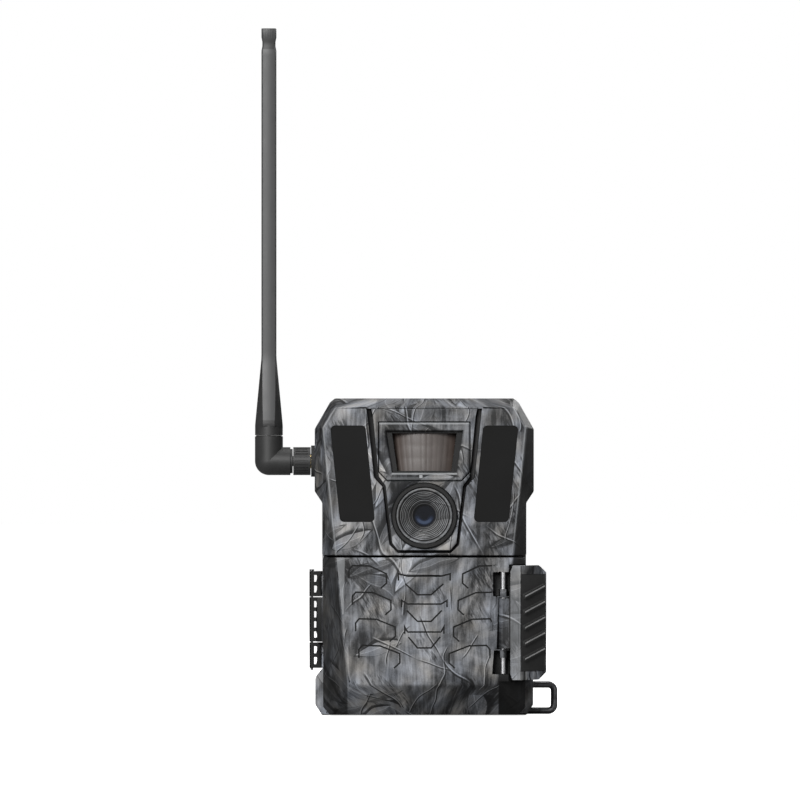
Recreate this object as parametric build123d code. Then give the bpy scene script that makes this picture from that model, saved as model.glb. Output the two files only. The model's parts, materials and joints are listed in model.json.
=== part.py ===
from build123d import *
import os
from math import hypot

# A cellular trail camera in millimetres. +Z is up, the lens looks along -Y, and the door's hinge and the
# antenna are on the -X side. The origin is the mouth of the tripod thread in the bottom face.
# Outlines are half outlines in (x, z), listed upwards on the +X side and mirrored where they are used.

# --- case ---
HEIGHT = 140.0
MID_X = 45.0  # half width at the waist
WIDE_X = 48.3  # half width at the shoulders
BUMPER_X = 48.2
FRONT_Y = -38.0
SHOULDER_Y = -26.0  # where the front bevels start
RIM_Y = -8.0  # parting plane between the rear shell and what closes it
BACK_BEVEL_Y = 23.0
BACK_Y = 31.0
SADDLE_Y = 38.5  # tips of the tree saddle
WALL = 2.6
FRONT_WALL = 3.2
INNER_BACK_Y = BACK_Y - WALL
FIT = 0.3  # room between pieces that move past each other
RUN = 0.05  # radial room of a shaft in its bearing
GRIP = 0.1  # room between pieces that are pushed or screwed together

CASE = [
    (45.2, 0.0),
    (BUMPER_X, 4.5),
    (BUMPER_X, 16.3),
    (MID_X, 20.3),
    (MID_X, 94.0),
    (WIDE_X, 99.0),
    (WIDE_X, 126.5),
    (41.6, 138.2),
    (39.4, HEIGHT),
]
CAVITY = [
    (MID_X - WALL, WALL),
    (MID_X - WALL, 93.2),
    (WIDE_X - WALL, 98.2),
    (WIDE_X - WALL, 125.8),
    (39.8, 136.4),
    (38.4, HEIGHT - WALL),
]

# --- upper front housing and what shows in it ---
SPLIT_LOW_Z = 70.0
SPLIT_HIGH_Z = 70.9
UPPER = [(MID_X, SPLIT_HIGH_Z), (MID_X, 94.0), (WIDE_X, 99.0), (WIDE_X, 126.5), (41.6, 138.2), (39.4, HEIGHT)]
UPPER_FACE = [(38.7, SPLIT_HIGH_Z), (41.6, 94.5), (42.7, 106.0), (44.7, 127.0), (41.3, 133.5), (38.6, 136.0)]
POD = [(11.5, 73.2), (14.1, 76.3), (17.0, 101.6), (20.0, 105.6), (22.6, 132.0), (23.3, 135.3)]
POD_FRONT_Y = -38.8
POD_BACK_Y = -33.2
POD_GROOVE = [(11.6, 72.0), (15.3, 75.7), (18.4, 101.2), (22.1, 105.2), (24.9, 132.0), (25.4, 135.8)]
GROOVE_DEPTH = 2.4
IR_WINDOW = [(37.0, 85.7), (41.4, 128.0), (26.0, 128.0), (21.8, 85.7)]  # the +X one
IR_CORNER_R = 2.0
IR_WINDOW_Y = -37.7
IR_WINDOW_THICK = 1.8
IR_LEDGE = 1.5
LED_BOARD_Y = -29.5
PIR_FRAME = [(16.2, 103.9), (19.9, 107.8), (19.9, 129.4)]
PIR_OPENING = [(14.2, 107.3), (17.0, 125.5)]
PIR_FRAME_Y = -39.8
PIR_FRAME_GAP = 0.45
PIR_FRAME_EDGE = 0.7
PIR_BORE = [(11.9, 108.1), (14.2, 124.7)]
PIR_SEAT_Y = -37.3
PIR_LENS_R = 22.0
PIR_LENS_Y = -36.4
PIR_LENS_THICK = 0.8
PIR_AXIS_Z = 116.4
LENS_Z = 88.4
LENS_RING_R = 14.55
LENS_RING_BORE_R = 12.3
LENS_RING_Y = -40.3
LENS_MOUTH_R = 4.9
HOOD_STEPS = 6
IMAGE_BOARD_Y = -16.9

# --- door ---
DOOR_GAP = 0.6  # between the door's rim and the rear shell's
DOOR_RIM_Y = RIM_Y - DOOR_GAP
DOOR = [(41.5, 0.4), (44.6, 4.0), (44.6, 20.0), (44.6, SPLIT_LOW_Z)]
DOOR_FACE = [(31.2, 13.6), (32.4, 14.6), (33.8, 20.0), (38.9, SPLIT_LOW_Z)]
RELIEF_WIDTH = 0.7
RELIEF_DEPTH = 0.6
RELIEF_PITCH = 11.7

# --- hinge ---
HINGE_X = -49.7
HINGE_Y = -8.2
HINGE_R = 1.05
HINGE_PIN_R = 0.6
HINGE_LEAF_X = -47.4
KNUCKLES = [(20.8, 32.1, 2, "case"), (32.5, 52.1, 4, "door"), (52.5, 63.6, 2, "case")]
KNUCKLE_BAR = 1.7

# --- latch ---
LATCH_X = 34.7
LATCH_Y = -36.4
LATCH_PIN_R = 1.25
LATCH_BARREL_R = 1.95
LATCH_LOW_Z = 16.0
LATCH_HIGH_Z = 66.5
LATCH_NOSE_Z = (30.0, 52.0)  # the stretch that reaches round the pin
LATCH_SHOULDER = [(42.3, -38.4), (53.8, -24.5)]  # the sloping grip, in (x, y)
LATCH_WALL = 2.6
GRIP_THICK = 1.2
CATCH_X = 48.7
CATCH_Y = (-5.0, 0.4)
HOOK_X = 47.9
HOOK_Y = (1.2, 3.3)

# --- back: tree saddle, strap and cable slots; loop; tripod insert ---
SADDLE_X = (17.0, 27.0)
SADDLE_Z = (14.0, 126.0)
STRAP_Z = (56.0, 84.0)
CABLE_Z = (102.0, 112.0)
SLOT_Y = 35.8
TOOTH_PITCH = 7.0
TOOTH_DEPTH = 2.2
TOOTH_SIDE = TOOTH_DEPTH * 2 ** 0.5
LOOP_WIRE_R = 1.5
LOOP_Y = 6.0
LOOP_X = 57.6
LOOP_Z = (1.62, 13.2)
TRIPOD_R = 3.175
INSERT_R = 4.5
INSERT_DEEP = 7.0

# --- control panel, battery tray and cards behind the door ---
PANEL_Y = -17.0
PANEL_THICK = 2.0
PANEL_BACK_Y = PANEL_Y + PANEL_THICK
PANEL_X = 41.0
PANEL_Z = (4.0, 67.4)
TUNNEL_WALL = 1.2
TUNNEL_FRONT_Y = -28.0
TRAY_X = (-37.0, 25.0)
TRAY_Z = (9.95, 42.05)
TRAY_Y = (-30.0, 26.4)
TRAY_PLAY = 0.35
CELL_R = 7.25
CELL_LONG = 50.5
CELL_PITCH = 14.9
KEY_CENTRE = (14.0, 55.2)
KEY_PITCH = 7.2
KEY_WIDE = 5.0
KEY_FLANGE = 6.6
BOARD_THICK = 1.4
CONTROL_BOARD_Y = -11.9
MAIN_BOARD_Y = -4.0
CARD_THICK = 0.8
CARD_LONG = 15.0
CARD_FRONT_Y = -15.6

# --- antenna ---
AERIAL_Y = 6.0
AERIAL_Z = 112.2
AERIAL_X = -68.8  # the mast's axis
BARREL_R = 6.2
JACK_R = 3.15
SPIGOT_R = 2.25
MAST_FOOT_Z = 123.6
MAST_TAPER_Z = (128.0, 158.0)
MAST_BAND_Z = (295.0, 299.5)
MAST_TOP_Z = 304.2

SCREW_R = 1.25
SCREW_HEAD_R = 2.2
SCREW_HEAD_TALL = 1.6
HOUSING_SCREWS = [(-37.5, 130.0), (37.5, 130.0), (-39.8, 77.5), (39.8, 77.5)]
CHASSIS_SCREWS = [(-33.0, 6.2), (33.0, 6.2), (-39.0, 56.0), (39.0, 56.0)]
BOARD_POSTS = [(-30.0, 79.0), (30.0, 79.0), (-30.0, 129.0), (30.0, 129.0)]

nodes = {}


def both(half):
    """The whole outline from its +X half."""
    return half + [(-x, z) for x, z in reversed(half)]


def mirrored(points):
    return [(-x, z) for x, z in reversed(points)]


def inset(points, amount):
    """A polygon moved inwards by amount, or outwards if it is negative, with sharp corners."""
    count = len(points)
    area = sum(points[i - 1][0] * points[i][1] - points[i][0] * points[i - 1][1] for i in range(count))
    turn = 1 if area > 0 else -1
    moved = []
    for i in range(count):
        (ax, az), (bx, bz), (cx, cz) = points[i - 1], points[i], points[(i + 1) % count]
        a, b = hypot(bx - ax, bz - az), hypot(cx - bx, cz - bz)
        nx, nz = -turn * (bz - az) / a, turn * (bx - ax) / a
        mx, mz = -turn * (cz - bz) / b, turn * (cx - bx) / b
        scale = amount / (1 + nx * mx + nz * mz)
        moved.append((bx + (nx + mx) * scale, bz + (nz + mz) * scale))
    return moved


def plate(points, y0, y1, corner=0):
    """A polygon in (x, z) made solid between two depths."""
    front, back = min(y0, y1), max(y0, y1)
    face = Plane((0, back, 0), x_dir=(1, 0, 0), z_dir=(0, -1, 0)) * Polygon(*points, align=None)
    if corner:
        face = fillet(face.vertices(), corner)
    return extrude(face, back - front, dir=(0, -1, 0))


def bevel(points0, y0, points1, y1):
    """A solid between two polygons of as many corners at two depths."""
    rims = []
    for points, y in ((points0, y0), (points1, y1)):
        rims.append(Wire.make_polygon([(x, y, z) for x, z in points], close=True))
    return Part() + Solid.make_loft(rims, ruled=True)


def profile(points, z0, z1):
    """A polygon in (x, y) made solid between two heights."""
    return extrude(Pos(0, 0, z0) * Polygon(*points, align=None), z1 - z0, dir=(0, 0, 1))


def block(x, y, z):
    """A box between the limits given as pairs."""
    (x0, x1), (y0, y1), (z0, z1) = sorted(x), sorted(y), sorted(z)
    return Pos((x0 + x1) / 2, (y0 + y1) / 2, (z0 + z1) / 2) * Box(x1 - x0, y1 - y0, z1 - z0)


def rod(axis, a, b, low, high, r):
    """A cylinder along an axis; a and b are its centre in the other two, in x, y, z order."""
    low, high = min(low, high), max(low, high)
    middle = (low + high) / 2
    if axis == "x":
        return Pos(middle, a, b) * Rot(0, 90, 0) * Cylinder(r, high - low)
    if axis == "y":
        return Pos(a, middle, b) * Rot(90, 0, 0) * Cylinder(r, high - low)
    return Pos(a, b, middle) * Cylinder(r, high - low)


def ring(outline, y0, y1, outer, inner):
    """A rail that follows an outline, between two insets of it."""
    return plate(inset(outline, outer), y0, y1) - plate(inset(outline, inner), y0, y1)


def grid(columns, rows, make):
    """Copies of a small piece joined into one group."""
    group = Part()
    for column in columns:
        for row in rows:
            group += make(column, row)
    return group


def screw(x, z, head_y, long, way):
    """A pan head screw along Y, its head towards way."""
    top_y = head_y + way * SCREW_HEAD_TALL
    shank = rod("y", x, z, head_y, head_y - way * long, SCREW_R)
    cap = rod("y", x, z, head_y, top_y, SCREW_HEAD_R)
    drive = block((x - 1.6, x + 1.6), (top_y - way * SCREW_HEAD_TALL / 2, top_y), (z - 0.3, z + 0.3))
    return cap + shank - drive


def knuckle(low, high, windows):
    """The barrel of one hinge knuckle with its ladder of webs, up to the leaf."""
    web = block((HINGE_X, HINGE_LEAF_X + 0.1), (HINGE_Y - HINGE_R, HINGE_Y + HINGE_R), (low, high))
    pitch = (high - low - KNUCKLE_BAR) / windows
    for i in range(windows):
        z = low + KNUCKLE_BAR + i * pitch
        web -= block((HINGE_X + HINGE_R - 0.05, HINGE_LEAF_X), (-12, -4), (z, z + pitch - KNUCKLE_BAR))
    barrel = rod("z", HINGE_X, HINGE_Y, low, high, HINGE_R)
    return web + barrel - rod("z", HINGE_X, HINGE_Y, low - 1, high + 1, HINGE_PIN_R + RUN)


def make_rear_shell():
    outline = both(CASE)
    shell = plate(outline, RIM_Y, BACK_BEVEL_Y) + bevel(outline, BACK_BEVEL_Y, inset(outline, 4.0), BACK_Y)
    hollow = both(CAVITY)
    shell -= plate(hollow, RIM_Y - 1, BACK_BEVEL_Y - 1)
    shell -= bevel(hollow, BACK_BEVEL_Y - 1, inset(hollow, 3.6), INNER_BACK_Y)
    shell += block((-MID_X + 1, MID_X - 1), (RIM_Y, RIM_Y + 3), (67.9, 72.7))
    # tree saddle, with passages for the strap and for a lock's cable
    for side in (-1, 1):
        bar = block((side * SADDLE_X[0], side * SADDLE_X[1]), (BACK_Y - 0.5, SADDLE_Y), SADDLE_Z)
        slots = (STRAP_Z, CABLE_Z)
        z = SADDLE_Z[0] + TOOTH_PITCH / 2
        while z < SADDLE_Z[1]:
            # the bridges over the slots have no teeth, which would thin them
            if not any(low - TOOTH_DEPTH < z < high + TOOTH_DEPTH for low, high in slots):
                bar -= Pos(side * 22, SADDLE_Y, z) * Rot(45, 0, 0) * Box(12, TOOTH_SIDE, TOOTH_SIDE)
            z += TOOTH_PITCH
        for slot in slots:
            bar -= block((side * 16, side * 28), (BACK_Y, SLOT_Y), slot)
        shell += bar
    # tripod boss, bosses for the screws and posts for the main board
    shell += block((-8, 8), (-7, 7), (0.5, 8.2))
    shell -= rod("z", 0, 0, -1, INSERT_DEEP, INSERT_R)
    room = bevel(inset(outline, 0.5), RIM_Y, inset(outline, 2.0), BACK_Y - 1)
    for x, z in HOUSING_SCREWS:
        shell += rod("y", x, z, RIM_Y, BACK_Y - 1, 3.6) & room
        shell -= rod("y", x, z, RIM_Y - 1, BACK_Y + 1, SCREW_R + GRIP)
        shell -= rod("y", x, z, RIM_Y + 6, BACK_Y + 1, SCREW_HEAD_R + FIT)
    for x, z in CHASSIS_SCREWS:
        shell += rod("y", x, z, PANEL_BACK_Y + 8, BACK_Y - 1, 2.0) & room
        shell -= rod("y", x, z, PANEL_BACK_Y + 7, PANEL_BACK_Y + 16, SCREW_R)
    for x, z in BOARD_POSTS:
        shell += rod("y", x, z, MAIN_BOARD_Y + BOARD_THICK, BACK_Y - 1, 2.6)
        shell -= rod("y", x, z, MAIN_BOARD_Y, MAIN_BOARD_Y + 8, SCREW_R)
    # channels for the two seals in the rim
    shell -= ring(both(UPPER), RIM_Y - 1, RIM_Y + 1.1, 0.8, 1.8)
    shell -= ring(both(DOOR), RIM_Y - 1, RIM_Y + 1.1, 0.7, 1.7)
    # hinge knuckles, latch catch, antenna hole, seats of the loop
    for low, high, windows, owner in KNUCKLES:
        if owner == "case":
            shell += block((HINGE_LEAF_X, -MID_X - 0.3), (HINGE_Y - HINGE_R, -2), (low, high))
            shell += block((-MID_X - 0.4, -MID_X + 0.5), (RIM_Y, -2), (low, high))
            shell += knuckle(low, high, windows)
    shell += block((MID_X - 0.5, CATCH_X), CATCH_Y, (29.5, 52.5))
    shell -= rod("x", AERIAL_Y, AERIAL_Z, -50, -44, JACK_R + GRIP)
    shell -= make_loop()
    return shell


def make_loop():
    """The fixed wire loop at the lower right, for a padlock or a lanyard."""
    low, high = LOOP_Z
    inner = MID_X - 0.5
    corners = [(inner, LOOP_Y, low), (LOOP_X, LOOP_Y, low), (LOOP_X, LOOP_Y, high), (inner, LOOP_Y, high)]
    path = FilletPolyline(*corners, radius=2.6)
    section = Plane((inner, LOOP_Y, low), x_dir=(0, 1, 0), z_dir=(1, 0, 0)) * Circle(LOOP_WIRE_R)
    return sweep(section, path)


def make_front_housing():
    outline, face = both(UPPER), both(UPPER_FACE)
    housing = plate(outline, RIM_Y - GRIP, SHOULDER_Y) + bevel(outline, SHOULDER_Y, face, FRONT_Y)
    inner = inset(outline, WALL)
    housing -= plate(inner, RIM_Y, SHOULDER_Y)
    housing -= bevel(inner, SHOULDER_Y, inset(face, WALL), FRONT_Y + FRONT_WALL)
    pod = both(POD)
    housing -= plate(inset(pod, -GRIP), FRONT_Y - 1, FRONT_Y + FRONT_WALL + 1)
    housing -= plate(both(POD_GROOVE), FRONT_Y - 1, FRONT_Y + GROOVE_DEPTH)
    for window in (IR_WINDOW, mirrored(IR_WINDOW)):
        seat_y = IR_WINDOW_Y + IR_WINDOW_THICK
        housing -= plate(inset(window, -GRIP), FRONT_Y - 1, seat_y, IR_CORNER_R)
        housing -= plate(inset(window, IR_LEDGE), seat_y - 1, FRONT_Y + FRONT_WALL + 1)
    room = bevel(inset(outline, 0.5), RIM_Y - GRIP, inset(face, 0.5), FRONT_Y + 0.5)
    for x, z in HOUSING_SCREWS:
        housing += rod("y", x, z, FRONT_Y + FRONT_WALL - 1, RIM_Y - GRIP, 3.2) & room
        housing -= rod("y", x, z, RIM_Y - 11, RIM_Y, SCREW_R)
    return housing


def make_upper_front():
    """What shows in the upper front: the pod, the motion sensor's frame and the two infrared windows."""
    nodes["front_housing"] = make_front_housing()
    pod = both(POD)
    bezel = plate(pod, POD_FRONT_Y, FRONT_Y + FRONT_WALL)
    flange = plate(inset(pod, -1.8), FRONT_Y + FRONT_WALL, POD_BACK_Y) & block((-30, 30), (-50, 0), (74, 131))
    rows = (LENS_Z - 11.2, LENS_Z + 12.3)
    posts = grid((-12.3, 12.3), rows, lambda x, z: rod("y", x, z, POD_BACK_Y, IMAGE_BOARD_Y, 1.6))
    bezel += flange + posts
    bezel -= plate(inset(both(PIR_FRAME), -PIR_FRAME_GAP), POD_FRONT_Y - 1, PIR_SEAT_Y)
    bezel -= plate(inset(both(PIR_OPENING), -GRIP), POD_FRONT_Y - 1, -30)
    bezel -= rod("y", 0, LENS_Z, -50, -30, LENS_RING_R + RUN)
    nodes["centre_pod"] = bezel
    frame = plate(both(PIR_FRAME), PIR_FRAME_Y, PIR_SEAT_Y) - plate(both(PIR_OPENING), -50, -30)
    frame = chamfer(frame.faces().sort_by(Axis.Y)[0].edges(), PIR_FRAME_EDGE)
    nodes["pir_frame"] = frame + rod("y", -1.5, 105.6, PIR_FRAME_Y - 0.3, PIR_SEAT_Y, 0.8)
    nodes["pir_shroud"] = plate(both(PIR_OPENING), PIR_SEAT_Y, -30) - plate(both(PIR_BORE), -50, -20)
    middle_y = PIR_LENS_Y + PIR_LENS_R
    curve = rod("z", 0, middle_y, 90, 140, PIR_LENS_R)
    curve -= rod("z", 0, middle_y, 90, 140, PIR_LENS_R - PIR_LENS_THICK)
    nodes["pir_lens"] = curve & plate(both(PIR_BORE), -40, -25)
    can = rod("y", 0, PIR_AXIS_Z, -24, -20, 4.15) + rod("y", 0, PIR_AXIS_Z, -20.6, -20, 4.6)
    nodes["pir_sensor"] = can
    nodes["pir_board"] = block((-10, 10), (-20, -20 + BOARD_THICK), (PIR_AXIS_Z - 7, PIR_AXIS_Z + 7))
    for name, window in (("ir_window_right", IR_WINDOW), ("ir_window_left", mirrored(IR_WINDOW))):
        nodes[name] = plate(window, IR_WINDOW_Y, IR_WINDOW_Y + IR_WINDOW_THICK, IR_CORNER_R)
    leds = Part()
    boards = Part()
    for side, window in ((1, IR_WINDOW), (-1, mirrored(IR_WINDOW))):
        boards += plate(inset(window, IR_LEDGE), LED_BOARD_Y, LED_BOARD_Y + BOARD_THICK)
        for row in range(6):
            z = 90.5 + 6.6 * row
            for column in (-3.6, 3.6):
                x = side * (29.9 + 0.098 * (z - 90.5)) + column
                leds += rod("y", x, z, LED_BOARD_Y - 1.7, LED_BOARD_Y, 2.0)
                leds += Pos(x, LED_BOARD_Y - 1.8, z) * Sphere(1.75)
    nodes["ir_boards"] = boards
    nodes["ir_leds"] = leds


def make_lens():
    ring_back = -33.0
    tube = rod("y", 0, LENS_Z, LENS_RING_Y, ring_back, LENS_RING_R)
    tube -= rod("y", 0, LENS_Z, LENS_RING_Y - 1, ring_back - 1.2, LENS_RING_BORE_R)
    tube -= rod("y", 0, LENS_Z, ring_back - 2, ring_back + 1, 7.0)
    nodes["lens_ring"] = chamfer(tube.edges().filter_by(GeomType.CIRCLE).group_by(Axis.Y)[0], 0.5)
    # the stepped hood narrows in rings towards the glass
    hood = rod("y", 0, LENS_Z, -39.6, ring_back - 1.3, LENS_RING_BORE_R - GRIP / 2)
    for step in range(HOOD_STEPS):
        r = LENS_RING_BORE_R - 0.9 - (LENS_RING_BORE_R - 0.9 - LENS_MOUTH_R) * step / (HOOD_STEPS - 1)
        hood -= rod("y", 0, LENS_Z, -41, -38.9 + 0.75 * step, r)
    hood -= rod("y", 0, LENS_Z, -41, -30, LENS_MOUTH_R)
    nodes["lens_hood"] = hood
    nodes["lens_glass"] = rod("y", 0, LENS_Z, ring_back - 1.2, ring_back, 6.9)
    mount = block((-8, 8), (-24, IMAGE_BOARD_Y - GRIP), (LENS_Z - 8, LENS_Z + 8))
    nodes["lens_barrel"] = rod("y", 0, LENS_Z, ring_back, -24, 6.0) + mount
    board_y = (IMAGE_BOARD_Y, IMAGE_BOARD_Y + BOARD_THICK)
    nodes["image_board"] = block((-15, 15), board_y, (LENS_Z - 13, LENS_Z + 14))


def relief_lines():
    """The sunken outlines in the door's face: three columns of open cells in (x, z)."""
    lines = []
    for row in range(4):
        drop = RELIEF_PITCH * row
        lean = 1.45 * row
        low = 0.5 * row
        left = [(-33.1, 60.9), (-33.1, 64.6), (-31.6, 66.4), (-23.9, 66.2)]
        left += [(-16.7 + low, 62.8), (-16.6 + low, 58.7), (-19.2 + low, 56.4)]
        lines.append([(x + lean, z - drop) for x, z in left])
        lines.append([(-x - lean * 1.02 + 0.2, z - drop) for x, z in left])
    for row in range(3):
        drop = RELIEF_PITCH * row
        wide = 11.4 - 1.4 * row
        bar = 61.8 - 0.6 * row - drop
        low = 8.4 - 0.7 * row
        for side in (-1, 1):
            lines.append([(side * wide, 59.8 - drop), (side * wide, 62.8 - drop), (side * 7.4, bar)])
        lines.append([(-7.4, bar), (7.4, bar)])
        lines.append([(-low, 58.4 - drop), (-3.0, 53.6 - drop), (3.0, 53.6 - drop), (low, 58.4 - drop)])
    return lines


def make_door():
    outline, face = both(DOOR), both(DOOR_FACE)
    outer = plate(outline, DOOR_RIM_Y, SHOULDER_Y) + bevel(outline, SHOULDER_Y, face, FRONT_Y)
    inner = inset(outline, WALL)
    door = outer - plate(inner, DOOR_RIM_Y + 1, SHOULDER_Y)
    door -= bevel(inner, SHOULDER_Y, inset(face, 2.2), FRONT_Y + WALL)
    # the seat of the latch: a sunken corner with closed ends, and a thick block for the latch's pin
    low, high = LATCH_LOW_Z - 0.4, LATCH_HIGH_Z + 0.4
    door -= profile([(37.3, -40), (37.3, -33.5), (45.5, -24.5), (50, -24.5), (50, -40)], low, high)
    wedge = [(27.8, FRONT_Y), (37.3, FRONT_Y), (37.3, -33.5), (44.6, -25.5), (44.6, -21.5), (42.6, -21.5)]
    wedge += [(42.6, -23.4), (36.0, -31.2), (27.8, -31.2)]
    door += profile(wedge, low - 0.1, high + 0.1)
    for z in (low - 2.2, high):
        door += outer & block((27.8, 46), (-40, -23.5), (z, z + 2.2))
    nose_low, nose_high = LATCH_NOSE_Z
    door -= block((32.2, 38), (-40, -34), (nose_low - 0.4, nose_high + 0.4))
    for z0, z1 in ((18.8, nose_low - 0.9), (nose_high + 0.9, 63.6)):
        door -= block((30.2, 38), (-40, -33.2), (z0, z1))
    for z0, z1 in ((25.9, nose_low - 0.4), (nose_high + 0.4, 56.1)):
        door += rod("z", LATCH_X, LATCH_Y, z0, z1, 2.0)
        door += block((LATCH_X - 1.6, LATCH_X + 1.6), (LATCH_Y, -33), (z0, z1))
    door -= rod("z", LATCH_X, LATCH_Y, 16.4, 66.0, LATCH_PIN_R)
    for line in relief_lines():
        groove = trace(Polyline(*line), RELIEF_WIDTH)
        door -= extrude(Plane((0, FRONT_Y + RELIEF_DEPTH, 0), x_dir=(1, 0, 0), z_dir=(0, -1, 0)) * groove, 2)
    for leaf_low, leaf_high, windows, owner in KNUCKLES:
        if owner == "door":
            door += block((HINGE_LEAF_X, -MID_X - 0.4), (-16, HINGE_Y + 0.9), (leaf_low, leaf_high))
            door += block((-MID_X - 0.5, -43.5), (-16, -9), (leaf_low, leaf_high))
            door += knuckle(leaf_low, leaf_high, windows)
    nodes["door"] = door
    liner = [(27.2, 20.0), (27.2, 64.0), (-33.0, 64.0), (-29.5, 20.0)]
    nodes["door_liner"] = plate(liner, FRONT_Y + WALL, FRONT_Y + WALL + 1.2)
    nodes["latch_pin"] = rod("z", LATCH_X, LATCH_Y, 16.4, 66.0, LATCH_PIN_R)


def make_latch():
    (x0, y0), (x1, y1) = LATCH_SHOULDER
    slope = hypot(x1 - x0, y1 - y0)
    along = ((x1 - x0) / slope, (y1 - y0) / slope)
    out = (along[1], -along[0])

    section = [(37.7, y0), (x0, y0), (x1, y1), (x1, HOOK_Y[1] - 1.5)]
    section += [(x1 - 1.5, HOOK_Y[1]), (x1 - LATCH_WALL, HOOK_Y[1])]
    section += [(x1 - LATCH_WALL, y1 + 0.9), (x0 - 1.1, y0 + LATCH_WALL), (37.7, y0 + LATCH_WALL)]
    lever = profile(section, LATCH_LOW_Z, LATCH_HIGH_Z)
    lever += block((HOOK_X, x1 - LATCH_WALL), HOOK_Y, (31.0, 51.0))
    front = [(38.7, LATCH_LOW_Z), (50.5, LATCH_LOW_Z), (x1, 19.3), (x1, 63.4)]
    front += [(50.5, LATCH_HIGH_Z), (38.9, LATCH_HIGH_Z), (37.7, 63.2), (37.7, 19.0)]
    lever &= plate(front, -60, 20)
    nose_low, nose_high = LATCH_NOSE_Z
    lever += rod("z", LATCH_X, LATCH_Y, nose_low, nose_high, LATCH_BARREL_R)
    lever += block((LATCH_X, 38.2), (y0, LATCH_Y + 0.5), (nose_low, nose_high))
    lever -= rod("z", LATCH_X, LATCH_Y, nose_low - 1, nose_high + 1, LATCH_PIN_R + RUN)
    # the grip lies in a seat on the slope, with slanting finger ribs
    middle = ((x0 + x1) / 2, (y0 + y1) / 2)
    centre_z = (LATCH_LOW_Z + LATCH_HIGH_Z) / 2
    slope_plane = Plane((middle[0], middle[1], centre_z), x_dir=(*along, 0), z_dir=(*out, 0))
    pad_wide, pad_tall = slope - 1.6, LATCH_HIGH_Z - LATCH_LOW_Z - 8
    seat = slope_plane * Pos(0, 0, -GRIP_THICK / 2) * Box(pad_wide, pad_tall, GRIP_THICK)
    lever -= seat
    nodes["latch_lever"] = lever
    grip = seat
    for i in range(5):
        bar = slope_plane * Pos(0, (i - 2) * 6.9, 0.45) * Rot(0, 0, 18) * Box(pad_wide - 1.5, 2.2, 1.1)
        grip += bar
    nodes["latch_grip"] = grip


def make_chassis():
    """The inner frame: control panel, skirt and the tunnel that the battery tray slides in."""
    low, high = PANEL_Z
    frame = block((-PANEL_X, PANEL_X), (PANEL_Y, PANEL_BACK_Y), PANEL_Z)
    frame += block((-PANEL_X, PANEL_X), (PANEL_BACK_Y, -9.0), PANEL_Z)
    frame -= block((1.4 - PANEL_X, PANEL_X - 1.4), (PANEL_BACK_Y, 0), (low + 1.2, high - 1.2))
    wall, play = TUNNEL_WALL, TRAY_PLAY
    inner_x = (TRAY_X[0] - play, TRAY_X[1] + play)
    inner_z = (TRAY_Z[0] - play, TRAY_Z[1] + play)
    outer_x = (inner_x[0] - wall, inner_x[1] + wall)
    outer_z = (inner_z[0] - wall, inner_z[1] + wall)
    frame += block(outer_x, (TUNNEL_FRONT_Y, INNER_BACK_Y - 0.3), outer_z)
    frame -= block(inner_x, (TUNNEL_FRONT_Y - 1, TRAY_Y[1] + 0.4), inner_z)
    for x, z in CHASSIS_SCREWS:
        frame += rod("y", x, z, PANEL_BACK_Y, PANEL_BACK_Y + 8, 2.0)
        frame -= rod("y", x, z, PANEL_Y - 1, PANEL_BACK_Y + 9, SCREW_R + GRIP)
    frame -= block((-36, -3), (PANEL_Y - 1, PANEL_BACK_Y + 1), (46, 65.6))
    for x, z in key_places().values():
        room = KEY_WIDE / 2 + FIT
        frame -= block((x - room, x + room), (PANEL_Y - 1, PANEL_BACK_Y + 1), (z - room, z + room))
    frame -= block((32.2, 35.8), (PANEL_Y - 1, PANEL_BACK_Y + 1), (50.0, 59.4))
    frame -= block((29.5, 31.1), (PANEL_Y - 1, PANEL_BACK_Y + 1), (26.1, 37.9))
    frame -= block((34.6, 36.2), (PANEL_Y - 1, PANEL_BACK_Y + 1), (25.6, 38.4))
    frame -= block((28.9, 32.3), (PANEL_Y - 1, PANEL_BACK_Y + 1), (10.9, 20.1))
    nodes["inner_chassis"] = frame


def key_places():
    x, z = KEY_CENTRE
    return {
        "key_ok": (x, z),
        "key_up": (x, z + KEY_PITCH),
        "key_down": (x, z - KEY_PITCH),
        "key_left": (x - KEY_PITCH, z),
        "key_right": (x + KEY_PITCH, z),
    }


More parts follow.
